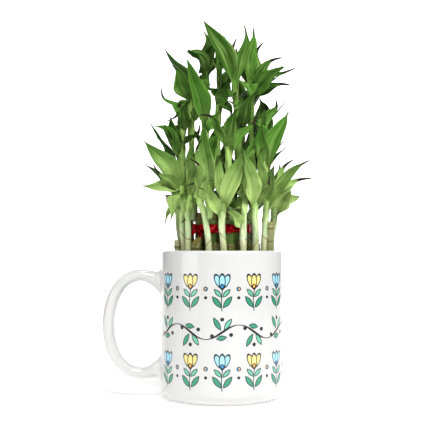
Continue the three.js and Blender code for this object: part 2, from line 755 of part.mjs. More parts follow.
// ---------------------------------------------------------------- pebbles
const BED_RINGS = 4;
const BED_SIDES = 20;

function pebbles() {
  const bore = BORE - GAP;
  const low = MUG_FLOOR + GAP;
  const across = Array.from({ length: BED_RINGS }, (_, i) => [bore * (1 - (i + 1) / BED_RINGS), PEBBLE_TOP]);
  const geometry = turned([
    [0, low],
    ...arc(bore - PEBBLE_CORNER, low + PEBBLE_CORNER, PEBBLE_CORNER, -90, 0, 2),
    [bore, PEBBLE_TOP],
    ...across,
  ], BED_SIDES);
  const points = geometry.attributes.position;
  for (let i = 0; i < points.count; i += 1) {
    if (points.getZ(i) > PEBBLE_TOP - GAP) {
      const stones = Math.sin((Math.PI * points.getX(i)) / PEBBLE_PITCH)
        * Math.sin((Math.PI * points.getY(i)) / PEBBLE_PITCH + points.getX(i) / PEBBLE_PITCH);
      points.setZ(i, PEBBLE_TOP + PEBBLE_RELIEF * Math.abs(stones));
    }
  }
  return shoots.reduce((bed, shoot) => bed.subtract(hole(shoot)), solidOf(geometry));
}

addPiece('pebbles', pebbles(), PEBBLE);

// ---------------------------------------------------------------- ribbon
const tied = shoots
  .filter((shoot) => shoot.name.startsWith('inner'))
  .map((shoot) => ({ x: shoot.cane[0], y: shoot.cane[1], angle: Math.atan2(shoot.cane[1], shoot.cane[0]) }))
  .sort((a, b) => a.angle - b.angle);

// The line of a belt drawn tight round the tied canes.
function beltLine(path, offset) {
  const square = Math.PI / 2;
  tied.forEach((at, i) => {
    const before = tied[(i + tied.length - 1) % tied.length];
    const after = tied[(i + 1) % tied.length];
    const from = Math.atan2(at.y - before.y, at.x - before.x) - square;
    const to = Math.atan2(after.y - at.y, after.x - at.x) - square;
    path.absarc(at.x, at.y, CANE_RADIUS + offset, from, to, false);
  });
  return path;
}

const END_WIDTH = 3.4;
const LOOP_SIZE = [1.3, 3.6, 2.3];
const LOOP_TILT = 20;
const KNOT_SIZE = [2.2, 2.2, 2.8];

function ribbonEnd(points) {
  const thickness = RIBBON_THICKNESS / 2;
  const [first, last] = [points[0], points[points.length - 1]];
  const along = new THREE.Vector3().subVectors(last, first).normalize();
  const outward = new THREE.Vector3(...onCircle(1, RIBBON_KNOT_ANGLE), 0);
  const broad = along.clone().cross(outward).normalize();
  const rings = points.map((point) => [[-1, -1], [1, -1], [1, 1], [-1, 1]].map(([u, v]) => (
    point.clone().addScaledVector(broad, (u * END_WIDTH) / 2).addScaledVector(outward, v * thickness)
  )));
  return solidOf(loft(rings));
}

function ribbon() {
  const belt = beltLine(new THREE.Shape(), GAP + RIBBON_THICKNESS);
  belt.holes.push(beltLine(new THREE.Path(), GAP));
  const depth = RIBBON_HEIGHT;
  const band = new THREE.ExtrudeGeometry(belt, { depth, bevelEnabled: false, curveSegments: 2 });
  band.translate(0, 0, RIBBON_LOW);

  const frame = new THREE.Matrix4().makeRotationZ(radians(RIBBON_KNOT_ANGLE));
  const place = (out, aside, up) => new THREE.Vector3(out, aside, RIBBON_LOW + up).applyMatrix4(frame);
  const lobe = (out, aside, up, sizes, tilt) => new THREE.SphereGeometry(1, 7, 5)
    .scale(...sizes)
    .rotateX(radians(tilt))
    .applyMatrix4(frame)
    .translate(...place(out, aside, up).toArray());
  const knot = lobe(19.8, 0, 3.4, KNOT_SIZE, 0);
  const leftLoop = lobe(20.4, -3.6, 4.2, LOOP_SIZE, -LOOP_TILT);
  const rightLoop = lobe(20.4, 3.6, 4.2, LOOP_SIZE, LOOP_TILT);
  const leftEnd = ribbonEnd([place(20.6, -0.5, 3), place(21.6, -4, 1.2), place(21.4, -8, -1)]);
  const rightEnd = ribbonEnd([place(20.6, 0.5, 3), place(21.4, 2.6, -0.6), place(21, 4.4, -4.6)]);
  return [band, knot, leftLoop, rightLoop].map(solidOf).concat(leftEnd, rightEnd)
    .reduce((whole, piece) => whole.add(piece));
}

addPiece('ribbon', ribbon(), SATIN);

// ---------------------------------------------------------------- leafy shoots
// A corner of the stem's outline faces its cane.
function stemSolid(shoot) {
  const rings = Array.from({ length: STEM_STEPS + 1 }, (_, i) => {
    const along = i / STEM_STEPS;
    const centre = shoot.line.getPoint(along);
    const radius = stemRadius(shoot, along);
    return Array.from({ length: STEM_SIDES }, (__, side) => {
      const angle = bearing(shoot) + Math.PI + (2 * Math.PI * side) / STEM_SIDES;
      return centre.clone().add(new THREE.Vector3(radius * Math.cos(angle), radius * Math.sin(angle), 0));
    });
  });
  return solidOf(loft(rings));
}

// A blade with both faces split into triangles alike, so that they never cross where it twists.
function bladeSolid(leaf) {
  const columns = leaf.width > NARROW_BLADE ? 2 : 1;
  const row = columns + 1;
  const steps = columns > 1 ? BLADE_STEPS : NARROW_STEPS;
  const upper = [];
  const lower = [];
  for (let step = 0; step <= steps; step += 1) {
    const along = step / steps;
    const frame = bladeFrame(leaf, along);
    for (let column = 0; column <= columns; column += 1) {
      const middle = bladePoint(leaf, frame, along, (2 * column) / columns - 1);
      upper.push(middle.clone().addScaledVector(frame.normal, BLADE_THICKNESS / 2));
      lower.push(middle.clone().addScaledVector(frame.normal, -BLADE_THICKNESS / 2));
    }
  }
  const under = upper.length;
  const faces = [];
  const wall = (a, b) => faces.push(a, b, b + under, a, b + under, a + under);
  for (let step = 0; step < steps; step += 1) {
    for (let column = 0; column < columns; column += 1) {
      const a = step * row + column;
      const [b, c, d] = [a + 1, a + row + 1, a + row];
      faces.push(a, b, c, a, c, d);
      faces.push(a + under, c + under, b + under, a + under, d + under, c + under);
    }
    wall(step * row, (step + 1) * row);
    wall((step + 2) * row - 1, (step + 1) * row - 1);
  }
  for (let column = 0; column < columns; column += 1) {
    wall(column + 1, column);
    wall(steps * row + column, steps * row + column + 1);
  }
  const geometry = new THREE.BufferGeometry();
  const points = [...upper, ...lower].flatMap((point) => point.toArray());
  geometry.setAttribute('position', new THREE.Float32BufferAttribute(points, 3));
  geometry.setIndex(faces);
  return solidOf(geometry);
}

for (const shoot of shoots) {
  const whole = shoot.grown.reduce((solid, leaf) => solid.add(bladeSolid(leaf)), stemSolid(shoot));
  addPiece(`shoot_${shoot.name}`, whole, LEAF);
}

export default part;
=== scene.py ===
import math
import random

import bmesh
import bpy
import numpy as np
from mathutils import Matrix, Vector


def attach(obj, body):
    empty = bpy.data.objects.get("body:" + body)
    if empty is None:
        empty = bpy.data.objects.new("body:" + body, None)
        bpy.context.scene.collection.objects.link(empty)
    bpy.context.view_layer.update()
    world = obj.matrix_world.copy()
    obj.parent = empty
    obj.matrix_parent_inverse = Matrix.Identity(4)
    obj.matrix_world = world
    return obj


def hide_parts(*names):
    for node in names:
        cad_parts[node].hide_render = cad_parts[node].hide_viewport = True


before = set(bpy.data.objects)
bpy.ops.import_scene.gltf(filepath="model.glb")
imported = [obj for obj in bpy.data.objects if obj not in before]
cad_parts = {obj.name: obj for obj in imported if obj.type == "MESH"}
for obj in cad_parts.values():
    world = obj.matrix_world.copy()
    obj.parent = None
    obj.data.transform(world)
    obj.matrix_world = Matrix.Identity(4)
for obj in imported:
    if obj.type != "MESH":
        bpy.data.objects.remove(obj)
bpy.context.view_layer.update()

# ---------------------------------------------------------------- the mug
# One fired piece of white stoneware: a cylinder with a rounded lip and a foot ring, and a loop handle
# whose ends were pressed on while the clay was soft. It is glazed white all over but for the foot ring,
# and two rows of tulips with a twining vine between them are printed round it, up to the handle.
MM = 0.001  # sizes are written in millimetres, and Blender's meshes are in metres
MUG_RADIUS = 41
MUG_HEIGHT = 98
WALL = 4
FLOOR = 6
CORNER = 8
FOOT_OUTSIDE = MUG_RADIUS - CORNER
FOOT_INSIDE = FOOT_OUTSIDE - 3.5
RECESS = 1.2
INSIDE_CORNER = 6
STAVES = 72  # columns of faces round the wall
ROOTS = (20.3, 77)  # heights of the handle's two ends on the wall
ROOT_STEP = 4  # between the rows of points at a root
ROOT_HALF = 2  # rows and columns of faces on each side of a root's middle
WALL_ROWS = (33, 38, 43.5, 49, 54.5, 60, 64.5)  # between the two roots
LIP_ROWS = (89, 93)  # from the upper root to the lip
BORE_ROWS = (92, 85, 75, 60, 45, 30, 18)  # down the inside
HANDLE_WIDTH = 12.3
HANDLE_HALF = 4.2  # half its thickness
HANDLE_FLARE = 4.4  # what that gains towards the wall
FLARE_START = MUG_RADIUS - 2
FLARE_REACH = 13
HANDLE_RINGS = 23
HANDLE_LINE = [(-44.3, 78.6), (-48.5, 80.4), (-55, 81.8), (-64.5, 78.4), (-71.5, 69.5), (-75.4, 56.5),
               (-75.6, 42), (-71.8, 28.5), (-63.5, 19), (-54, 16.2), (-48.5, 17), (-44.3, 18.6)]


class Value:
    """A number or colour that varies over a surface. A formula on it adds its Math nodes."""

    def __init__(self, finish, socket):
        self.finish = finish
        self.socket = socket

    def math(self, operation, *others):
        return self.finish.math(operation, self, *others)

    def __add__(self, other):
        return self.math("ADD", other)

    def __sub__(self, other):
        return self.math("SUBTRACT", other)

    def __mul__(self, other):
        return self.math("MULTIPLY", other)

    def __truediv__(self, other):
        return self.math("DIVIDE", other)

    def __pow__(self, other):
        return self.math("POWER", other)

    def __abs__(self):
        return self.math("ABSOLUTE")

    def __rsub__(self, other):
        return self.finish.math("SUBTRACT", other, self)

    __radd__ = __add__
    __rmul__ = __mul__


class Finish:
    """A material whose colour, gloss and relief are built up from formulas."""

    def __init__(self, name, **constants):
        self.material = bpy.data.materials.new(name)
        self.material.use_nodes = True
        self.tree = self.material.node_tree
        self.surface = self.tree.nodes["Principled BSDF"]
        for constant, value in constants.items():
            socket = constant.replace("_", " ").title().replace("Ior", "IOR")
            self.surface.inputs[socket].default_value = value

    def node(self, kind, settings=None, sockets=None):
        """One node: its settings first, then what its sockets hold or are linked to."""
        node = self.tree.nodes.new(kind)
        for setting, value in (settings or {}).items():
            setattr(node, setting, value)
        for socket, value in (sockets or {}).items():
            if isinstance(value, Value):
                self.tree.links.new(value.socket, node.inputs[socket])
            else:
                node.inputs[socket].default_value = value
        return node

    def math(self, operation, *values):
        node = self.node("ShaderNodeMath", {"operation": operation}, dict(enumerate(values)))
        return Value(self, node.outputs[0])

    def step(self, value, low, high):
        """0 below low, 1 above high and a smooth change between them."""
        node = self.node("ShaderNodeMapRange", {"interpolation_type": "SMOOTHSTEP"},
                         {"Value": value, "From Min": low, "From Max": high})
        return Value(self, node.outputs["Result"])

    def blend(self, share, under, over):
        """Colour over laid on colour under, by a share from 0 to 1."""
        node = self.node("ShaderNodeMix", {"data_type": "RGBA"}, {0: share, 6: under, 7: over})
        return Value(self, node.outputs[2])

    def coats(self, under, *coats):
        """Colours laid one over another, each by its own share."""
        for share, over in coats:
            under = self.blend(share, under, over)
        return under

    def place(self):
        """Where a point lies on the object, as its x, y and z in millimetres."""
        point = self.node("ShaderNodeTexCoord").outputs["Object"]
        parts = self.node("ShaderNodeSeparateXYZ", None, {0: Value(self, point)})
        return [Value(self, parts.outputs[axis]) / MM for axis in "XYZ"]

    def noise(self, size, detail=2, stretch=(1, 1, 1), at=None):
        """Cloudy noise from 0 to 1 whose blots are about size mm across, drawn out by stretch."""
        joined = self.node("ShaderNodeCombineXYZ", None, dict(enumerate(at or ())))
        point = joined.outputs[0] if at else self.node("ShaderNodeTexCoord").outputs["Object"]
        scale = [1 / (size * share * (1 if at else MM)) for share in stretch]
        scaled = self.node("ShaderNodeVectorMath", {"operation": "MULTIPLY"},
                           {0: Value(self, point), 1: scale})
        node = self.node("ShaderNodeTexNoise", None,
                         {"Vector": Value(self, scaled.outputs[0]), "Scale": 1.0, "Detail": detail})
        return Value(self, node.outputs["Fac"])

    def fact(self, name):
        """A number that the mesh carries at each of its points."""
        return Value(self, self.node("ShaderNodeAttribute", {"attribute_name": name}).outputs["Fac"])

    def set(self, socket, value):
        self.tree.links.new(value.socket, self.surface.inputs[socket])

    def relief(self, height):
        """A height in millimetres as bumps."""
        node = self.node("ShaderNodeBump", None, {"Height": height * MM, "Distance": 1.0})
        self.set("Normal", Value(self, node.outputs[0]))


def colour(*levels):
    """A colour as seen on a screen, its levels from 0 to 255, for a colour socket."""
    return [((level / 255 + 0.055) / 1.055) ** 2.4 for level in levels] + [1]


def spline(points, along):
    """The point and direction at along, from 0 to 1, of an even curve through points."""
    spans = len(points) - 1
    place = np.asarray(along, float) * spans
    first = np.minimum(np.floor(place).astype(int), spans - 1)
    step = (place - first)[..., None]
    held = np.asarray(points, float)
    held = np.vstack([2 * held[0] - held[1], held, 2 * held[-1] - held[-2]])
    before, start, end, after = (held[first + k] for k in range(4))
    leave, arrive = 0.5 * (end - before), 0.5 * (after - start)
    square, cube = 3 * (end - start) - 2 * leave - arrive, 2 * (start - end) + leave + arrive
    return (start + leave * step + square * step**2 + cube * step**3,
            leave + 2 * square * step + 3 * cube * step**2)


def unit(vectors):
    vectors = np.asarray(vectors, float)
    return vectors / np.linalg.norm(vectors, axis=-1, keepdims=True)


def on_circle(radius, degrees):
    return radius * math.cos(math.radians(degrees)), radius * math.sin(math.radians(degrees))


def arc(x, y, radius, start, end, steps):
    """Points of an arc in a profile, with angles in degrees."""
    angles = np.radians(np.linspace(start, end, steps + 1))
    return [(x + radius * math.cos(angle), y + radius * math.sin(angle)) for angle in angles]


def band(near, far):
    """Faces between two rings of points that are numbered in the same order."""
    near, far = list(near), list(far)
    return [list(face) for face in zip(near, near[1:] + near[:1], far[1:] + far[:1], far)]


def hoop(radius, height, count):
    """A level ring of points round the middle of the mug."""
    return [(*on_circle(radius, 360 * k / count), height) for k in range(count)]


class Form:
    """Points in millimetres and the faces between them, with facts that each point carries."""

    def __init__(self, *facts):
        self.points = []
        self.faces = []
        self.facts = {fact: [] for fact in facts}

    def add(self, points, faces, **known):
        """Adds a part, often in rows of points. A fact is one number or fits those rows, and else it is 0."""
        self.faces += [[len(self.points) + k for k in face] for face in faces]
        self.points += np.reshape(points, (-1, 3)).tolist()
        for fact, values in self.facts.items():
            values += np.full(np.shape(points)[:-1], known.get(fact, 0), float).ravel().tolist()


def put(name, data):
    thing = bpy.data.objects.new(name, data)
    bpy.context.scene.collection.objects.link(thing)
    return thing


def make_thing(name, form, finish=None, scale=MM):
    """A smooth mesh of a form."""
    mesh = bpy.data.meshes.new(name)
    mesh.from_pydata((np.array(form.points) * scale).tolist(), [], form.faces)
    mesh.polygons.foreach_set("use_smooth", [True] * len(mesh.polygons))
    for fact, values in form.facts.items():
        mesh.attributes.new(fact, "FLOAT", "POINT").data.foreach_set("value", values)
    if finish:
        mesh.materials.append(finish.material)
    return put(name, mesh)


def add_piece(name, form, finish, node):
    """A piece of the object, which takes its CAD node's place."""
    thing = make_thing(name, form, finish)
    shape = bmesh.new()
    shape.from_mesh(thing.data)
    bmesh.ops.recalc_face_normals(shape, faces=shape.faces)
    shape.to_mesh(thing.data)
    shape.free()
    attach(thing, "root")
    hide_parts(node)
    return thing


def mug_form():
    """The body as rows of points from under the foot, up the wall and down the inside, and the handle."""
    lip = WALL / 2
    bore = MUG_RADIUS - WALL
    profile = [(FOOT_INSIDE / 2, RECESS), (FOOT_INSIDE - 1, RECESS), (FOOT_INSIDE - 0.2, RECESS - 0.3),
               (FOOT_INSIDE + 0.2, 0.2), (FOOT_INSIDE + 0.8, 0), (FOOT_OUTSIDE - 0.6, 0)]
    profile += arc(FOOT_OUTSIDE, CORNER, CORNER, -85, 0, 7)
    root_rows = []
    for root, rows_above in zip(ROOTS, (WALL_ROWS, LIP_ROWS)):
        root_rows.append(len(profile) + ROOT_HALF)
        profile += [(MUG_RADIUS, root + ROOT_STEP * k) for k in range(-ROOT_HALF, ROOT_HALF + 1)]
        profile += [(MUG_RADIUS, height) for height in rows_above]
    profile += arc(MUG_RADIUS - lip, MUG_HEIGHT - lip, lip, 0, 180, 8)
    profile += [(bore, height) for height in BORE_ROWS]
    profile += arc(bore - INSIDE_CORNER, FLOOR + INSIDE_CORNER, INSIDE_CORNER, 0, -90, 5)
    profile += [(bore / 2, FLOOR)]
    points = [point for radius, height in profile for point in hoop(radius, height, STAVES)]
    rows = [range(row * STAVES, (row + 1) * STAVES) for row in range(len(profile))]
    middle = STAVES // 2  # the column of points that faces the handle
    faces = []
    for row in range(len(rows) - 1):
        wall_faces = band(rows[row], rows[row + 1])
        if any(-ROOT_HALF <= row - root < ROOT_HALF for root in root_rows):
            del wall_faces[middle - ROOT_HALF:middle + ROOT_HALF]
        faces += wall_faces
    for row, height in ((rows[0], RECESS), (rows[-1], FLOOR)):
        points.append((0, 0, height))
        faces += [[point, row[(k + 1) % STAVES], len(points) - 1] for k, point in enumerate(row)]

    # The handle is a strap, and the points of each of its rings match those round its hole in the wall.
    low, high = -ROOT_HALF, ROOT_HALF
    rim = ([(a, low) for a in range(low, high)] + [(high, b) for b in range(low, high)]
           + [(a, high) for a in range(high, low, -1)] + [(low, b) for b in range(high, low, -1)])
    rings = [[(root_rows[1] + b) * STAVES + middle + a for a, b in rim]]
    line, way = spline([(x, 0, z) for x, z in HANDLE_LINE], np.linspace(0, 1, HANDLE_RINGS))
    for centre, tangent in zip(line, unit(way)):
        nearness = max(0, 1 - (-centre[0] - FLARE_START) / FLARE_REACH)
        half = HANDLE_HALF + HANDLE_FLARE * nearness**2
        outward = unit([-tangent[2] * (1 - nearness), 0, tangent[0]])
        rings.append(range(len(points), len(points) + len(rim)))
        for a, b in rim:
            turn = math.atan2(b, a)
            aside = np.array([0, -HANDLE_WIDTH / 2 * math.cos(turn), 0])
            points.append(centre - outward * half * math.sin(turn) + aside)
    rings.append([(root_rows[0] - b) * STAVES + middle + a for a, b in rim])
    for near, far in zip(rings, rings[1:]):
        faces += band(near, far)
    form = Form()
    form.add(points, faces)
    return form


glaze = Finish("White glaze", coat_weight=0.3, coat_roughness=0.04)
x, y, z = glaze.place()
QUARTER_ROUND = MUG_RADIUS * math.pi / 2  # from the front to the right side, measured along the wall
PRINT_START = -51  # measured in the same way from the front
PRINT_STOP = 177
PRINT_LOW = 8
PRINT_TOP = 86
PITCH = 21  # from one tulip to the next
VINE_HEIGHT = 47
VINE_SWING = 4.5
ROW_PITCH = 50  # from one row of tulips to the next
CRISP = 0.1  # half the width over which a printed edge fades
OUTLINE = 0.28
INK = colour(34, 38, 44)
SPRIG_GREEN = colour(120, 196, 170)
DEEP_GREEN = colour(66, 158, 128)
round_mug = glaze.math("ARCTAN2", y, x) * MUG_RADIUS + QUARTER_ROUND
cell = (round_mug / PITCH + 0.5).math("FLOOR")
across = round_mug - cell * PITCH
mirrored = abs(across)
up = ((z - VINE_HEIGHT) / ROW_PITCH).math("FRACT") * ROW_PITCH - ROW_PITCH / 2
odd = (cell / 2).math("FRACT") * 2
clouding = glaze.noise(9, detail=3)
white = glaze.blend(clouding, colour(211, 211, 210), colour(216, 216, 215))


def oval(aside, along, centre, size, lean=0, pointed=False):
    """Distance in mm from the edge of an oval or of a pointed leaf, and less than 0 inside it."""
    c, s = math.cos(math.radians(lean)), math.sin(math.radians(lean))
    du, dv = aside - centre[0], along - centre[1]
    length = (du * s + dv * c) / size[1]
    breadth = (du * c - dv * s) / size[0]
    if pointed:
        return (abs(breadth) + length * length - 1) * size[0]
    return ((breadth * breadth + length * length) ** 0.5 - 1) * size[0]


def printed(paint, edge, fill):
    """Fills a shape with colour and draws its outline in ink."""
    paint = glaze.blend(1 - glaze.step(edge, -CRISP, CRISP), paint, fill)
    line = 1 - glaze.step(abs(edge), OUTLINE - 1.2 * CRISP, OUTLINE + 1.2 * CRISP)
    return glaze.blend(line, paint, INK)


petals = glaze.blend(odd, colour(172, 222, 240), colour(248, 222, 150))
heart = glaze.blend(odd, colour(74, 158, 214), colour(240, 180, 84))
off_stalk = glaze.step(abs(across - (up * 0.25).math("SINE") * 0.5), 0.2, 0.45)
past_stalk = glaze.step(abs(up + 4), 7.6, 7.9)
paint = glaze.blend((1 - off_stalk) * (1 - past_stalk), white, colour(52, 96, 84))
for aside, centre, size, lean, pointed, fill in (
        (mirrored, (3.4, -6.2), (1.5, 4.4), 38, True, DEEP_GREEN),  # the two lower leaves
        (mirrored, (2.7, -0.6), (1.2, 3.3), 44, True, SPRIG_GREEN),  # the two upper leaves
        (mirrored, (2.5, 7), (1.9, 4.2), 24, False, petals),
        (across, (0, 6.6), (1.9, 4.6), 0, False, petals),  # the middle petal
        (across, (0, 3.6), (1.1, 1.3), 0, False, heart),
        (mirrored, (PITCH / 2, 2), (1.2, 1.2), 0, False, heart),  # the dots between two tulips
        (mirrored, (PITCH / 2, -3.5), (0.7, 0.7), 0, False, INK)):
    paint = printed(paint, oval(aside, up, centre, size, lean, pointed), fill)

bend = round_mug * (math.pi / PITCH)
off_vine = abs(z - VINE_HEIGHT - bend.math("SINE") * VINE_SWING)
vine_half = 0.55 + 0.3 * (bend * 2).math("COSINE")
paint = glaze.blend(1 - glaze.step(off_vine - vine_half, -CRISP, CRISP), paint, INK)
vine_up = (z - VINE_HEIGHT) * (1 - 2 * odd)
for centre, lean, length, fill in (((-3.2, 5.2), -30, 4.4, DEEP_GREEN), ((3.6, 5), 34, 4, SPRIG_GREEN),
                                   ((-0.4, -3.6), 80, 3.2, DEEP_GREEN)):
    paint = printed(paint, oval(across, vine_up, centre, (1.4, length), lean, True), fill)
for berry in ((0, 8), (5.6, -1.6), (-6.4, -2.4)):
    paint = printed(paint, oval(across, vine_up, berry, (0.95, 0.95)), INK)

past_start = glaze.step(round_mug, PRINT_START, PRINT_START + 2 * CRISP)
past_stop = glaze.step(round_mug, PRINT_STOP, PRINT_STOP + 2 * CRISP)
above_foot = glaze.step(z, PRINT_LOW, PRINT_LOW + 4 * CRISP)
above_print = glaze.step(z, PRINT_TOP, PRINT_TOP + 4 * CRISP)
out_of_bore = glaze.step((x * x + y * y) ** 0.5, MUG_RADIUS - 1, MUG_RADIUS - 0.5)
in_print = past_start * (1 - past_stop) * above_foot * (1 - above_print) * out_of_bore
glazed = glaze.blend(in_print, white, paint)
bare_clay = 1 - glaze.step(z + glaze.noise(2) * 0.3, 0.35, 0.6)
glaze.set("Base Color", glaze.blend(bare_clay, glazed, colour(226, 219, 206)))
glaze.set("Roughness", 0.1 + clouding * 0.06 + bare_clay * 0.6)
glaze.relief(glaze.noise(3.5, detail=1) * 0.03 + glaze.noise(0.4) * bare_clay * 0.08)

mug = add_piece("mug_glazed", mug_form(), glaze, "mug")
smooth_clay = mug.modifiers.new("Smooth clay", "SUBSURF")
smooth_clay.levels = 2
smooth_clay.render_levels = 2

# ---------------------------------------------------------------- the canes
# Lengths of the plant's own stalk, cut to stand in the mug: eight tied in a ring with two taller ones
# inside it, and thirteen short ones round the wall. Each is olive green with a raised ring at every joint,
# browner near its top, and its cut end has dried pale with a dark rim. They stand loose in the pebbles.
CANE_RADIUS = 3.2
CANE_FOOT = 12
CANE_SIDES = 24
JOINT_PITCH = 17
TOP_JOINT = 4.5  # below the cut end
JOINT_HEIGHT = 0.25
PEBBLE_TOP = 80
LOWEST_JOINT = PEBBLE_TOP + 6
NO_JOINT = 9  # stands for the distance to a joint where none is near
TIED_CIRCLE = 15.6
TIED_TOP = 123
LOOSE_CIRCLE = 27
LOOSE_TOP = 103
SLOPE_DEPTH = 4  # how far down a cane its sloping end is felt
# The rows of points over a cut end: depth, share of the radius, and 1 on the end itself.
CUT_END = ((0.35, 0.06, 1), (0.25, 0.4, 1), (0.1, 0.72, 1), (0.0, 0.88, 1), (0.02, 0.97, 0.4), (0.3, 1, 0))
# The rows of points over a joint: distance below its middle, and what the radius gains.
JOINT_ROWS = ((-5, -0.06), (-2, -0.04), (-0.9, 0.02), (-0.45, 0.17), (0, JOINT_HEIGHT),
              (0.45, 0.2), (0.8, 0.02), (1.3, -0.1), (2.2, -0.06), (5, -0.05))
CLEAR_OF_CANES = {"outer": 99, "inner": 121, "centre": 128}  # height from which a stem stands free
BACK_CIRCLE = {"outer": 28.5, "inner": 21.9}  # on which the stems at the back rise
BACK_BOW = 2

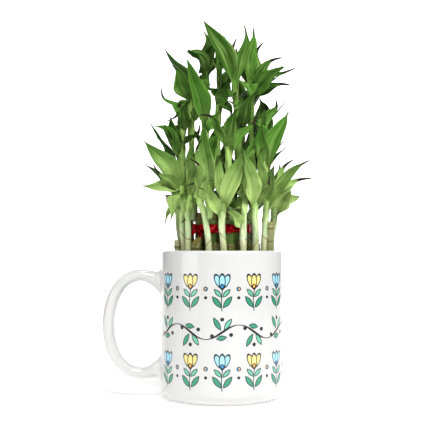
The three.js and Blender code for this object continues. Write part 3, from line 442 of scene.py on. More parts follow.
# Each shoot with its cane: where the cane stands and how high it is cut, the stem's radius at its foot
# and its top, the points the stem passes through and its leaves. A leaf is the height of its root, its
# tip, its width, how strongly it rises before it leans out, and the way that its face looks, in degrees
# to the right of the front. Some canes are cut at a slope or have pale bark. Facing is the way round the
# mug, from its right side, in which the leaves point that follow the rule further down.
shoots = [
    dict(name="outer_01", cane=(-28.5, -4.5, 105), girth=(3, 1.8), pale=0.6,
         stem=[(-24.5, -10, 99), (-26, -11, 112.5), (-25.5, -11, 126), (-26.5, -11, 136.5),
               (-25, -11, 143.5)],
         leaves=[(136.5, (-51, -24, 139.5), 9, 0.15, 0), (139, (-50.5, -17, 169), 12, 0.3, -15),
                 (133.5, (-44, -26, 153), 6, 0.2, 10), (133, (-32.5, -27, 117), 10, 0.45, -20),
                 (127, (-37.5, -8, 115.5), 7, 0.8, -40), (135.5, (-14.5, -15, 163.5), 7, 0.3, 25),
                 (141.5, (-22, -15, 158), 7, 0.3, 55), (139, (-15.5, -5, 154), 5, 0.3, 50)]),
    dict(name="outer_02", cane=(-16.4, -23.9, 104), girth=(2.3, 1.6), cut=0.9,
         stem=[(-21.9, -20, 99), (-22, -20, 111), (-22.5, -19, 123), (-21.5, -17, 130.5), (-20.5, -15, 136)],
         leaves=[(130.5, (-26, -33, 116), 6, 0.5, 20), (133.5, (-16.5, -25, 148), 7, 0.3, 0),
                 (134.5, (-21, -8, 164), 8, 0.3, 20)]),
    dict(name="outer_03", cane=(-4.5, -22.5, 103), girth=(2.5, 1.6),
         stem=[(-8.5, -28, 99), (-9.5, -29, 109.5), (-11.5, -29, 121), (-14, -28, 128), (-15.5, -27, 134.5)],
         leaves=[(134, (-13, -26, 169), 5.5, 0.3, 30), (130, (-22.5, -36, 138.5), 6, 0.4, 20),
                 (132.5, (-20.5, -22, 156), 6, 0.3, 30), (127, (-6, -34, 142.5), 7, 0.4, 0)]),
    dict(name="outer_04", cane=(5.5, -24.5, 102), girth=(2.4, 1.6),
         stem=[(1, -30, 99), (0, -31, 109.5), (0, -31, 119), (0.5, -30, 126), (2, -29, 131.5)],
         leaves=[(121.5, (15.5, -38, 161), 12.5, 0.3, -20), (118, (-14.5, -37, 137.5), 8, 0.35, 0),
                 (128, (-1, -24, 156), 8, 0.3, 10)]),
    dict(name="outer_05", cane=(12.5, -21.4, 104), girth=(2.5, 1.7),
         stem=[(13.5, -28, 99), (13.5, -29, 111), (14, -29, 122), (14.5, -28, 128), (16, -27, 133.5)],
         leaves=[(127, (4, -38, 127), 8, 0.35, 0), (111.5, (3, -37, 122.5), 7, 0.2, 0),
                 (129.5, (11.5, -22, 140.5), 5, 0.3, 10), (131, (16.5, -20, 152.5), 7, 0.3, 20)]),
    dict(name="outer_06", cane=(19.5, -16.6, 103), girth=(2.5, 1.7),
         stem=[(21.5, -23, 99), (21.5, -24, 111), (21, -24, 120), (21, -23, 126.5), (22.5, -22, 131.5)],
         leaves=[(122, (12, -34, 162.5), 12, 0.35, 20), (128.5, (25.5, -18, 163), 7, 0.3, 30),
                 (126.5, (30.5, -26, 145.5), 6, 0.3, -20)]),
    dict(name="outer_07", cane=(31, -8.6, 117), girth=(2.3, 1.6), pale=0.3,
         stem=[(27, -14.2, 99), (27.5, -15.4, 110), (28, -16, 119.5), (28.5, -16, 127), (29, -16, 132)],
         leaves=[(123, (55.5, -26, 155.5), 7, 0.45, -10), (128, (58.5, -8, 145.5), 6, 0.5, 0),
                 (131, (46.5, 0, 157.5), 5, 0.3, 20), (130, (33.5, -22, 152.5), 7, 0.3, -20)]),
    dict(name="outer_08", cane=(29.6, 5.2, 104), girth=(2.4, 1.7),
         stem=[(32, -1.4, 100.5), (33.5, -1.2, 110.5), (34.5, -1.5, 120), (34.5, -2, 126), (35, -2.5, 131.5)],
         leaves=[(121, (45, -26, 141), 14, 0.5, 10), (129, (46.5, 9, 152.5), 6, 0.35, 0),
                 (129, (38.5, -2, 155), 7, 0.3, -20), (125.5, (53, 14, 135), 8, 0.5, 10)]),
    dict(name="inner_01", cane=(*on_circle(TIED_CIRCLE, 199), TIED_TOP), girth=(2.3, 1.6),
         stem=[(-20.5, -7, 118), (-25, -3, 137.5), (-26.5, -3, 155.5), (-26.5, -4, 170.5), (-27, -5, 183)],
         leaves=[(181.5, (-40.5, -5, 205.5), 6, 0.35, 45), (165.5, (-33.5, -15, 185), 7, 0.3, -20),
                 (166.5, (-43.5, -17, 178), 7, 0.3, -10), (157, (-37.5, -22, 178.5), 7, 0.35, 10),
                 (181, (-27, -10, 195.5), 5, 0.3, 0), (172.5, (-21, -14, 196.5), 8, 0.4, 25),
                 (166, (-14.5, -17, 179.5), 5, 0.3, 40)]),
    dict(name="inner_02", cane=(*on_circle(TIED_CIRCLE, 247), TIED_TOP), girth=(2.3, 1.7),
         stem=[(-8, -19, 121.5), (-9, -20, 137), (-10.5, -19, 153), (-10.5, -17, 166.5), (-10.5, -15, 177.5)],
         leaves=[(177, (-22, -20, 217.5), 12.5, 0.35, 20), (127.5, (-11.5, -27, 180.5), 10, 0.35, 0),
                 (163, (-16, -30, 160.5), 6, 0.4, 40), (174.5, (-2, -16, 188), 7, 0.3, -10),
                 (143.5, (-4, -12, 178), 9, 0.3, 0)]),
    dict(name="inner_03", cane=(*on_circle(TIED_CIRCLE, 288), TIED_TOP), girth=(2.3, 1.7),
         stem=[(6.5, -20, 121.5), (5, -21, 137), (4, -20, 151), (4, -18, 161.5), (2.5, -16, 169.5)],
         leaves=[(163, (-14, -24, 184), 6, 0.55, 0), (160.5, (9.5, -24, 189), 10, 0.35, -20),
                 (158.5, (23.5, -28, 186), 6, 0.25, 25), (167.5, (2.5, -8, 185), 6, 0.3, 20)]),
    dict(name="inner_04", cane=(*on_circle(TIED_CIRCLE, 333), TIED_TOP), girth=(2.3, 1.6),
         stem=[(22, -11, 120.5), (26.5, -13, 134), (28, -13, 149), (28, -12, 163.5), (27.5, -10, 178.5)],
         leaves=[(145.5, (26, -22, 180.5), 9, 0.5, -10), (146.5, (43.5, -10, 189), 12, 0.5, -20),
                 (157, (36.5, 0, 180.5), 5, 0.4, 30), (176.5, (36, 3, 199), 4.5, 0.3, 45),
                 (163.5, (20.5, -22, 181), 9, 0.4, 10), (170.5, (13.5, -24, 151), 8, 0.8, 0),
                 (175.5, (26, -12, 193.5), 6, 0.3, -30)]),
    dict(name="inner_05", cane=(*on_circle(TIED_CIRCLE, 10), TIED_TOP), girth=(2.3, 1.5),
         stem=[(22, 4, 124), (21.5, 4, 145.5), (20, 2, 165), (19, -2, 184.5), (18.5, -5, 210.5)],
         leaves=[(209.5, (20.5, -8, 244.5), 9, 0.3, 0), (207, (27.5, 0, 237), 5.5, 0.3, 20),
                 (205.5, (39.5, -6, 225.5), 6, 0.3, 0), (207, (47.5, -15, 216.5), 6, 0.45, -20),
                 (197.5, (40, -20, 216.5), 9, 0.3, 10), (198.5, (44.5, -8, 207), 6, 0.4, 0),
                 (205.5, (17.5, -28, 193.5), 12, 0.8, 0), (190, (7, -20, 188.5), 7, 0.4, 0)]),
    dict(name="inner_07", cane=(*on_circle(TIED_CIRCLE, 110), TIED_TOP), girth=(2.3, 1.5), facing=75,
         stem=[(-6.5, 17.5, 124.5), (-9, 15, 146), (-11, 11, 173), (-11.5, 5, 202.5), (-12, 3, 221.5)],
         leaves=[(220.5, (-12.5, -4, 243.5), 8, 0.3, 20), (214, (-21.5, -30, 225.5), 11, 0.45, -10),
                 (217.5, (-3, -8, 234.5), 8, 0.35, 10), (211, (-10, -20, 198.5), 9, 0.55, 0),
                 (210, (-19.5, 8, 210.5), 7, 0.5, 0)]),
    dict(name="inner_08", cane=(*on_circle(TIED_CIRCLE, 150), TIED_TOP), girth=(2.3, 1.6), facing=60,
         stem=[(-18.8, 10.9, 124), (-19.5, 9, 145.5), (-20.5, 6, 165.5), (-21, 3, 185.5), (-21, 1, 200)],
         leaves=[(197, (-33, -4, 221), 11, 0.3, -10), (196, (-37, -10, 184), 5, 0.8, 0),
                 (186.5, (-25.5, -18, 178), 8, 0.8, -10), (196, (-20.5, 6, 219.5), 7, 0.3, 0),
                 (182, (-12, -6, 200), 7, 0.35, -20)]),
    dict(name="centre_01", cane=(3, -4, 134), girth=(2.4, 1.9),
         stem=[(4.5, -10, 128), (9, -10, 147.5), (10.5, -9, 170.5), (9.5, -8, 193.5), (8.5, -8, 210)],
         leaves=[(207.5, (-12, -16, 247), 12, 0.35, -10), (207.5, (14.5, -10, 245), 7, 0.3, 10),
                 (207.5, (9.5, 2, 240), 5, 0.3, 0), (172, (23, -28, 197.5), 8, 0.35, 20),
                 (184, (5.5, -30, 183), 8, 0.5, 0), (200.5, (0.5, -20, 197.5), 6, 0.5, -20)]),
    dict(name="centre_02", cane=(-2.5, 4.5, 134), girth=(2.2, 1.5),
         stem=[(0, 9, 129), (-2, 8, 152.5), (-3, 6, 179), (-2, 4, 205.5), (-2, 3, 223)],
         leaves=[(191, (4.5, -4, 213.5), 8, 0.35, 0), (199, (-7.5, -4, 211.5), 6, 0.5, 20),
                 (196, (4.5, -6, 185), 6, 0.8, -10), (220.5, (1, 10, 243.5), 7, 0.3, 0),
                 (219, (-7, 8, 232), 6, 0.4, 0), (205.5, (9.5, 14, 221), 7, 0.5, 0)]),
]

# The shoots at the back: the angle of the cane and of the stem's line, the stem's top, and its leaves.
for name, cane_angle, stem_angle, top, leaf_count in (
        ("outer_09", 33, 46.5, 146, 4), ("outer_10", 63, 76.5, 138, 4), ("outer_11", 93, 106.5, 150, 4),
        ("outer_12", 123, 136.5, 140, 4), ("outer_13", 152, 165.5, 148, 4), ("inner_06", 55, 55, 188, 6)):
    place = name.split("_")[0]
    clear = CLEAR_OF_CANES[place]
    stem = []
    for share in (0, 1 / 3, 2 / 3, 1):
        circle = BACK_CIRCLE[place] + BACK_BOW * math.sin(math.pi * share)
        stem.append((*on_circle(circle, stem_angle), clear + (top - clear) * share))
    circle, cut_at = (TIED_CIRCLE, TIED_TOP) if place == "inner" else (LOOSE_CIRCLE, LOOSE_TOP)
    shoots.append(dict(name=name, cane=(*on_circle(circle, cane_angle), cut_at), girth=(2.4, 1.6), stem=stem,
                       leaves=[], facing=stem_angle, fan=50, by_rule=leaf_count))


def tube(rings):
    """Faces of a closed tube over rings that have the same number of points."""
    count, sides = np.shape(rings)[:2]
    numbers = np.arange(count * sides).reshape(count, sides).tolist()
    faces = [numbers[0], numbers[-1]]
    for near, far in zip(numbers, numbers[1:]):
        faces += band(near, far)
    return faces


def cane_form(shoot, grain):
    """Rings of points down the cane from the middle of its cut end, with how far each lies from a joint."""
    x, y, top = shoot["cane"]
    rows = [(below, CANE_RADIUS * share, end, NO_JOINT) for below, share, end in CUT_END]
    joint = TOP_JOINT
    while top - joint > LOWEST_JOINT:
        for off, gain in JOINT_ROWS:
            if joint + off > rows[-1][0] + 0.2:
                rows.append((joint + off, CANE_RADIUS + gain, 0, off))
        joint += JOINT_PITCH
    hidden = CANE_RADIUS - 0.05
    foot = top - CANE_FOOT
    rows += [(top - PEBBLE_TOP, hidden, 0, NO_JOINT), (foot - 0.4, hidden, 0, NO_JOINT),
             (foot, CANE_RADIUS - 0.5, 0.5, NO_JOINT), (foot, 0.3, 1, NO_JOINT)]
    outward = unit((x, y))
    rings = []
    for below, radius, _, _ in rows:
        ring = []
        for side in range(CANE_SIDES):
            turn = 2 * math.pi * side / CANE_SIDES
            uneven = 1 + 0.015 * math.sin(2 * turn + grain) + 0.008 * math.sin(5 * turn + below * 0.3)
            wide = min(radius * uneven, CANE_RADIUS + JOINT_HEIGHT)
            dx, dy = wide * math.cos(turn), wide * math.sin(turn)
            slope = shoot.get("cut", 0) * (outward[0] * dx + outward[1] * dy)
            ring.append((x + dx, y + dy, top - below - slope * max(0, 1 - below / SLOPE_DEPTH)))
        rings.append(ring)
    below, _, end, off_joint = np.transpose(rows)[:, :, None]
    form = Form("below", "end", "off_joint", "grain", "loose", "pale")
    form.add(rings, tube(rings), below=below, end=end, off_joint=off_joint, grain=grain,
             loose=top < TIED_TOP, pale=shoot.get("pale", 0))
    return form


bark = Finish("Cane bark")
below = bark.fact("below")
end = bark.fact("end")
off_joint = bark.fact("off_joint")
loose = bark.fact("loose")
streaks = bark.noise(0.9, detail=3, stretch=(1, 1, 14))
blotches = bark.noise(5, detail=3)
withered = bark.blend(bark.step(streaks + blotches, 0.8, 1.2), colour(88, 52, 34), colour(138, 124, 72))
dried = 1 - bark.step(below + blotches * 7, 4, 11)
scraps = bark.step(bark.noise(2.4, detail=2, stretch=(1, 1, 1.6)), 0.52, 0.62)
scar = bark.step(off_joint, 0.5, 0.8) * (1 - bark.step(off_joint, 1.6, 2.4))
ridge = 1 - bark.step(abs(off_joint), 0.35, 0.75)
pale_end = bark.step(bark.place()[2], 104, 116)
pith = bark.coats(colour(124, 116, 58), (pale_end, colour(196, 184, 136)),
                  (bark.noise(0.45, detail=2), colour(112, 98, 52)))
cut_rim = bark.step(end, 0.2, 0.5) * (1 - bark.step(end, 0.8, 0.98))
bark.set("Base Color", bark.coats(
    colour(74, 106, 38),
    (streaks, colour(142, 172, 92)),
    (loose * 0.6, colour(96, 90, 46)),
    (bark.step(bark.fact("grain") + blotches * 2, 1.6, 5.2) * 0.6, colour(116, 108, 54)),
    (dried * (0.85 - loose * 0.5), withered),
    (bark.fact("pale"), colour(206, 208, 168)),
    (loose * scraps * 0.45, colour(196, 190, 144)),
    (scar * 0.22, colour(168, 166, 112)),
    (ridge * (0.35 + blotches * 0.6), colour(92, 70, 38)),
    (bark.step(end, 0.5, 0.9), pith),
    (cut_rim, colour(84, 56, 32))))
bark.set("Roughness", 0.36 + streaks * 0.15 + end * 0.35)
bark.relief(streaks * 0.06 + bark.noise(0.5) * end * 0.15)

for order, shoot in enumerate(shoots):
    cane = cane_form(shoot, 0.37 * order % 3)
    add_piece("stalk_" + shoot["name"], cane, bark, "cane_" + shoot["name"])

# ---------------------------------------------------------------- the pebbles
# Smooth river stones that hold the canes upright, filling the mug to a little below its rim. The lower
# ones only show as a bed between the loose stones of the top layers, so they are made as one bumpy mass.
GAP = 0.3  # between neighbouring pieces
BED_RADIUS = 36.7
BED_LOW = 6.3
BED_MIDDLE = 40
BED_RINGS = 26
BED_SPOKES = 72
POST_SIDES = 20
TRIES = 5040  # at laying a loose stone, of which about one in forty finds room
STONE_SIZES = (2.1, 3.9)  # from its middle to its end
LAYERS = (PEBBLE_TOP - 4.4, PEBBLE_TOP - 1.9, PEBBLE_TOP - 0.9)
NESTING = 0.93  # share of the two sizes that the middles of two stones keep apart


def ground(x, y):
    """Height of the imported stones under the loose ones."""
    return PEBBLE_TOP - 5.5 + 0.8 * math.sin(x * 0.9 + 1.3 * math.sin(y * 0.7)) * math.cos(y * 0.8 - x * 0.3)


def drilled(rings):
    """The points and faces of the bed with the holes that it leaves round the canes."""
    bed, posts = Form(), Form()
    bed.add(rings, tube(rings))
    for shoot in shoots:
        x, y, _ = shoot["cane"]
        post = [np.add(hoop(CANE_RADIUS + JOINT_HEIGHT + GAP, height, POST_SIDES), (x, y, 0))
                for height in (CANE_FOOT - GAP, PEBBLE_TOP + 5)]
        post_faces = tube(post)
        post_faces[0].reverse()
        posts.add(post, post_faces)
    things = [make_thing("bed", bed, scale=1), make_thing("posts", posts, scale=1)]
    things[0].modifiers.new("holes", "BOOLEAN").object = things[1]
    whole = things[0].evaluated_get(bpy.context.evaluated_depsgraph_get()).to_mesh()
    points = [tuple(vertex.co) for vertex in whole.vertices]
    faces = [list(face.vertices) for face in whole.polygons]
    for thing in things:
        bpy.data.objects.remove(thing)
    return points, faces


def stone_form():
    """The bed, and loose stones laid on it at random wherever there is room between the canes."""
    chance = random.Random(7)
    form = Form("tone")
    rings = []
    for radius in np.linspace(0.5, BED_RADIUS, BED_RINGS):
        rings.append([(px, py, ground(px, py)) for px, py, _ in hoop(radius, 0, BED_SPOKES)])
    tuck = 0.3 * INSIDE_CORNER
    for radius, height in ((BED_RADIUS, BED_MIDDLE), (BED_RADIUS, BED_LOW + INSIDE_CORNER),
                           (BED_RADIUS - tuck, BED_LOW + tuck), (BED_RADIUS - INSIDE_CORNER, BED_LOW),
                           (1, BED_LOW)):
        rings.append(hoop(radius, height, BED_SPOKES))
    form.add(*drilled(rings), tone=0.3)

    ball = bmesh.new()
    bmesh.ops.create_icosphere(ball, subdivisions=2, radius=1)
    ball_points = np.array([vertex.co for vertex in ball.verts])
    ball_faces = [[vertex.index for vertex in face.verts] for face in ball.faces]
    ball.free()
    stands = np.array([shoot["cane"][:2] for shoot in shoots])
    laid = np.zeros((0, 4))
    for _ in range(TRIES):
        size = chance.uniform(*STONE_SIZES)
        px, py = on_circle((BED_RADIUS - size) * math.sqrt(chance.random()), 360 * chance.random())
        if np.min(np.hypot(*(stands - (px, py)).T)) < CANE_RADIUS + GAP + size:
            continue
        height = chance.choice(LAYERS)
        apart = np.linalg.norm((laid[:, :3] - (px, py, height)) * (1, 1, 1.5), axis=1)
        if np.any(apart < NESTING * (laid[:, 3] + size)):
            continue
        laid = np.vstack([laid, (px, py, height, size)])
        stretch = np.array([chance.uniform(0.75, 1), chance.uniform(0.75, 1), chance.uniform(0.5, 0.66)])
        wave = np.array([chance.uniform(1, 2) for _ in range(3)])
        lumps = 1 + 0.06 * np.sin(ball_points @ wave * 2 + chance.random() * 6)[:, None]
        turn = chance.uniform(0, math.pi)
        c, s = math.cos(turn), math.sin(turn)
        spun = np.array([[c, s, 0], [-s, c, 0], [0, 0, 1]])
        corners = (ball_points * lumps * stretch * size * 0.97) @ spun + (px, py, height)
        corners[:, 2] = np.minimum(corners[:, 2], PEBBLE_TOP + 1.5)
        form.add(corners, ball_faces, tone=chance.random())
    return form


river_stone = Finish("River stone")
tone = river_stone.fact("tone")
speckle = river_stone.noise(0.8, detail=4)
clouds = river_stone.noise(4, detail=3)
river_stone.set("Base Color", river_stone.coats(
    colour(150, 141, 128),
    (river_stone.step(tone, 0.1, 0.5), colour(214, 205, 188)),
    (river_stone.step(tone, 0.6, 0.75), colour(182, 150, 116)),
    (river_stone.step(tone, 0.85, 0.95), colour(238, 235, 228)),
    (clouds * 0.35, colour(116, 108, 100)),
    (river_stone.step(speckle, 0.55, 0.75) * 0.5, colour(70, 66, 62))))
river_stone.set("Roughness", 0.35 + speckle * 0.35)
river_stone.relief(speckle * 0.12)
add_piece("stones", stone_form(), river_stone, "pebbles")

# ---------------------------------------------------------------- the ribbon
# A length of narrow red satin ribbon wound tight round the eight tied canes and closed with a small bow
# at the front left: a knot, two flat loops and two notched ends. Its turns are pulled into creases.
RIBBON_LOW = 109
RIBBON_HEIGHT = 6.5
RIBBON_HALF_THICK = 0.16
BOW_ANGLE = 222
ROUND_CANES = CANE_RADIUS + 0.75  # from a cane's middle to the middle of the ribbon
KNOT_OUT = 19.8  # from the middle of the mug
KNOT_RADIUS = 1.95
KNOT_HALF_HEIGHT = 2.6
NOTCH = 1.3
# Points on the middle line of a loop and of the two ends: out from the mug's middle, aside and up.
LOOP_LINE = [(20.5, 0.6, 3.6), (21.35, 2.6, 4), (21.1, 5, 4.5), (20.3, 6.7, 4.9), (19.75, 5, 4.5),
             (19.6, 2.6, 4), (20, 0.6, 3.6)]
END_LINES = ([(20.8, -0.5, 3), (21.7, -2.6, 2.2), (21.6, -5, 0.6), (21.2, -8, -1)],
             [(20.8, 0.5, 3), (21.5, 1.8, 0.8), (21.3, 3, -1.6), (21, 4.2, -4.4)])


def ribbon_form():
    """The turns round the canes, the knot, the two loops and the two ends."""
    form = Form("across", "shade")
    face_steps = np.linspace(-1, 1, 13)
    round_band = [*face_steps, *face_steps[::-1]]

    def cross_section(centre, broad, thick, width, creases=0.0, phase=0.0):
        """The outline of the ribbon cut across, from one edge over its face and back under it."""
        middle = centre + np.outer(face_steps * width / 2, broad)
        ruffle = creases * np.sin(face_steps * 5 + phase) * (1 - face_steps**4)
        over = middle + np.outer(ruffle + RIBBON_HALF_THICK, thick)
        under = middle + np.outer(ruffle - RIBBON_HALF_THICK, thick)
        return [*over, *under[::-1]]

    def turn_of_band(centre, out, turn):
        """The band where it passes a cane, pulled a little narrow and out of level by its creases."""
        height = RIBBON_HEIGHT * (0.84 + 0.11 * math.sin(3 * turn + 1) + 0.04 * math.sin(11 * turn))
        level = centre + (0, 0, 0.25 * math.sin(2 * turn + 2))
        return cross_section(level, (0, 0, 1), out, height, 0.22, 2.5 * turn + 0.8 * math.sin(5 * turn))

    stands = [np.array([*shoot["cane"][:2], RIBBON_LOW + RIBBON_HEIGHT / 2]) for shoot in shoots
              if shoot["name"].startswith("inner")]
    stands.sort(key=lambda stand: math.atan2(stand[1], stand[0]))
    rings = []
    for k, stand in enumerate(stands):
        before, after = stands[k - 1], stands[(k + 1) % len(stands)]
        start = math.atan2(stand[1] - before[1], stand[0] - before[0]) - math.pi / 2
        end = math.atan2(after[1] - stand[1], after[0] - stand[0]) - math.pi / 2
        for share in np.linspace(0, 1, 7):
            turn = start + ((end - start) % (2 * math.pi)) * share
            out = np.array([math.cos(turn), math.sin(turn), 0])
            rings.append(turn_of_band(stand + out * ROUND_CANES, out, turn))
        for share in (0.35, 0.65):
            out = np.array([math.cos(end), math.sin(end), 0])
            centre = stand + out * ROUND_CANES + (after - stand) * share
            rings.append(turn_of_band(centre, out, end + share))
    sides = len(round_band)
    closing = band(range((len(rings) - 1) * sides, len(rings) * sides), range(sides))
    form.add(rings, tube(rings)[2:] + closing, across=round_band)

    out = np.array([*on_circle(1, BOW_ANGLE), 0])
    aside = np.array([-out[1], out[0], 0])

    def at_bow(forward, along, up):
        return out * forward + aside * along + np.array([0, 0, RIBBON_LOW + up])

    knot = []
    for row in np.linspace(-0.97, 0.97, 15):
        ring = []
        for turn in np.linspace(0, 2 * math.pi, 21)[:-1]:
            lumps = 1 + 0.07 * math.sin(5 * turn + 3 * row) - 0.1 * math.cos(turn * 2)
            radius = KNOT_RADIUS * math.sqrt(1 - abs(row) ** 2.6) * lumps
            up = KNOT_HALF_HEIGHT * row + 3.4
            ring.append(at_bow(KNOT_OUT + radius * math.cos(turn), radius * math.sin(turn), up))
        knot.append(ring)
    # The knot carries painted shade, as do the two ends further on.
    form.add(knot, tube(knot), across=np.linspace(-1, 1, 20), shade=0.4)

    for way in (-1, 1):
        loop = []
        line, run = spline([at_bow(f, way * a, u) for f, a, u in LOOP_LINE], np.linspace(0, 1, 19))
        broad = unit(np.array([0, 0, 1]) - aside * way * 0.25)
        for k, (centre, tangent) in enumerate(zip(line, unit(run))):
            opened = math.sin(math.pi * k / (len(line) - 1))
            thick = unit(np.cross(tangent, broad))
            loop.append(cross_section(centre, broad, thick, 1.8 + 2.2 * opened, 0.16 * (1 - opened), 1 + way))
        form.add(loop, tube(loop), across=round_band)

    for end_line in END_LINES:
        end = []
        line, run = spline([at_bow(*place) for place in end_line], np.linspace(0, 1, 15))
        for k, (centre, tangent) in enumerate(zip(line, unit(run))):
            broad = unit(np.cross(tangent, out))
            width = 1.6 + 1.6 * min(1, k / 6)
            end.append(cross_section(centre, broad, np.cross(broad, tangent), width, 0.1, 2 + 0.2 * k))
        end[-1] = [point - tangent * NOTCH * (1 - abs(step)) for point, step in zip(end[-1], round_band)]
        form.add(end, tube(end), across=round_band, shade=0.2)
    return form


satin = Finish("Red satin", specular_ior_level=0.04)
ribbon_across = satin.fact("across")
# The satin's threads run lengthwise and lighten it in streaks: partly the weave and partly a painted sheen.
threads_and_sheen = satin.noise(0.22, detail=2, stretch=(1, 1, 0.4))
folds = satin.noise(2.2, detail=2)
selvedge = satin.step(abs(ribbon_across), 0.84, 0.94)
satin.set("Base Color", satin.coats(
    colour(156, 4, 18),
    (threads_and_sheen, colour(206, 16, 34)),
    # Painted shade deep in the creases of the satin.
    (satin.step(folds, 0.48, 0.64) * 0.8, colour(72, 2, 6)),
    # A painted pinkish highlight along the crests of the creases.
    (satin.step(1 - folds, 0.56, 0.68) * 0.6, colour(238, 104, 108)),
    # Painted shade: the knot and the ends are darkened as if in shadow.
    (satin.fact("shade") * 0.5, colour(84, 0, 10)),
    (selvedge * 0.5, colour(112, 2, 16))))
satin.set("Roughness", 0.36 + threads_and_sheen * 0.14 + selvedge * 0.15)
ribs = (ribbon_across * 40).math("SINE")
satin.relief(ribs * 0.01 + threads_and_sheen * 0.03 + selvedge * 0.04 + folds * 0.5)
add_piece("satin_bow", ribbon_form(), satin, "ribbon")

# ---------------------------------------------------------------- the leafy shoots
# One soft green shoot grows from each cane, out of the bud beside its top. Its stem is a stack of leaf
# sheaths, each wrapped round the next and running out into a folded, pointed blade. Low down they are
# almost white, the low leaves are a light yellow green and the high ones darker, and the tips dry brown.
STEM_FOOT = {"outer": 84.5, "inner": 117.5, "centre": 124.5}
LEAVES_BEHIND = {"outer": 0, "inner": 2, "centre": 2}  # how many of a shoot's leaves follow the rule
PLANT_TOP = 236
PLANT_REACH = 54
LEAST_TURN = 12  # degrees between a leaf at the back and the way that its shoot faces
SWINGS = 17  # places that a leaf is tried in, on both sides of its own
SWING_STEP = 3
SWING_TURN = 2.5  # degrees for each millimetre of swing
ROOT_SHIFTS = (0, 2.5, -2.5, 5, -5)
POINT_PITCH = 2  # between the points at which two pieces are compared
BLADE_FOLD = 0.26
NARROW_BLADE = 8
LEAF_REACH = 1.15  # room kept on each side of a leaf
ROUND_REACH = 0.15
WIDEST_REACH = 6  # beyond any two reaches together
ROOT_STRETCH = 0.5
LOWEST_LEAF = MUG_HEIGHT + 2.5
STEM_SIDES = 16
DRY_WIDTH = 6.5  # a narrower leaf has a dry tip
SHEATH_LENGTH = 15
NARROW_SHEATH = 10
LEAF_ROW = 1.8  # between the rows of points along a fine leaf
WRAPPED = 0.93  # the bare stem's share of the radius that it has with its sheaths


def even_draws(seed):
    """Numbers between 0 and 1 in the order in which the shoots were first laid out."""
    limit = 2**31 - 1
    while True:
        seed = seed * 16807 % limit
        yield seed / limit


draws = even_draws(20)


def smooth(share):
    share = np.clip(share, 0, 1)
    return share * share * (3 - 2 * share)


def stem_points(shoot):
    """Beside the cane from its foot up to the cane's cut end, and on through its own points."""
    x, y, top = shoot["cane"]
    first, *others = shoot["stem"]
    turn = math.atan2(first[1] - y, first[0] - x)
    beside = CANE_RADIUS + JOINT_HEIGHT + GAP + shoot["girth"][0]
    foot = (x + beside * math.cos(turn), y + beside * math.sin(turn), STEM_FOOT[shoot["place"]])
    over = first if foot[2] < MUG_HEIGHT else (foot[0], foot[1], top + 1)
    return [foot, over, *others]


def stem_radius(shoot, along):
    return shoot["girth"][0] + (shoot["girth"][1] - shoot["girth"][0]) * along


def along_at(line, height):
    """How far along its stem a height lies, found by halving."""
    low, high = 0.0, 1.0
    for _ in range(40):
        middle = (low + high) / 2
        if spline(line, middle)[0][2] < height:
            low = middle
        else:
            high = middle
    return low


def placed_leaf(shoot, height, tip, width, rise, look):
    turn = math.radians(look)
    face = unit([math.sin(turn), -math.cos(turn), 0.35])
    return dict(shoot=shoot, height=height, tip=np.array(tip, float), width=width, rise=rise, face=face)


def rule_leaf(shoot, index):
    """A leaf at the back of the plant: the lower it sits, the more it spreads."""
    line = shoot["line"]
    top = spline(line, 1.0)[0][2]
    lowest = top - 0.6 * (top - CLEAR_OF_CANES[shoot["place"]])
    low = min([leaf[0] for leaf in shoot["leaves"]], default=lowest)
    up = (index + 0.5) / shoot["by_rule"]
    side = 1 if index % 2 else -1
    heading = shoot["facing"] + side * (LEAST_TURN + shoot["fan"] * next(draws))
    spread = math.radians(62 - 42 * up + 12 * (next(draws) - 0.5))
    height = low + (top - 2 - low) * up
    root = spline(line, along_at(line, height))[0]
    room = min((PLANT_REACH - math.hypot(root[0], root[1])) / math.sin(spread),
               (PLANT_TOP - height) / math.cos(spread))
    length = min(46 + 16 * next(draws), room)
    width = min(8 + 4 * next(draws), 0.3 * length)
    return dict(shoot=shoot, height=height, tip=None, heading=heading, spread=spread, length=length,
                width=width, rise=0.3 + 0.3 * next(draws))


def swung(leaf, swing, shift):
    """The same leaf swung aside by some millimetres, and its root moved along the stem."""
    line = leaf["shoot"]["line"]
    root = spline(line, along_at(line, leaf["height"] + shift))[0]
    if leaf["tip"] is not None:
        return {**leaf, "root": root, "end": leaf["tip"] + (0, swing, 0)}
    heading = math.radians(leaf["heading"] + SWING_TURN * swing)
    out = np.array([math.cos(heading), math.sin(heading), 0])
    rise = (0, 0, leaf["length"] * math.cos(leaf["spread"]))
    end = root + out * leaf["length"] * math.sin(leaf["spread"]) + rise
    return {**leaf, "root": root, "end": end, "face": out * -0.6 + (0, 0, 0.8)}


def blade_half(leaf, along):
    """Half a plain blade's width: a narrow root, widest at a third of its length, then a long taper."""
    opening = np.minimum(along / 0.38, 1)
    sheath = 0.25 + 0.75 * opening * opening * (3 - 2 * opening)
    taper = (1 - along) ** 0.95 * (1 + 1.45 * along)
    return np.maximum(0.5, 0.5 * leaf["width"] * sheath * taper)


def blade_frame(leaf, along):
    """A blade's middle line, its sideways direction and that of its upper face."""
    root, end = leaf["root"], leaf["end"]
    span = end - root
    bend = root + span * 0.38 + np.array([0, 0, 0.45 * leaf["rise"] * np.linalg.norm(span)])
    t = along[:, None]
    centre = root * (1 - t) ** 2 + bend * 2 * t * (1 - t) + end * t * t
    tangent = unit((bend - root) * (1 - t) + (end - bend) * t)
    side = unit(np.cross(tangent, leaf["face"]))
    return centre, side, np.cross(side, tangent)


# The leaves are laid out by the search that placed the solids, so that each fine leaf lies where its solid
# does. A leaf that would touch what is already there is swung aside, or its root moves along the stem.
taken = dict(point=np.zeros((0, 3)), reach=np.zeros(0), owner=np.zeros(0, int), along=np.zeros(0))


def take(points, reach, owner, along):
    count = len(points)
    for key, new in (("point", points), ("reach", np.broadcast_to(reach, count)),
                     ("owner", np.full(count, owner)), ("along", np.broadcast_to(along, count))):
        taken[key] = np.concatenate([taken[key], new])


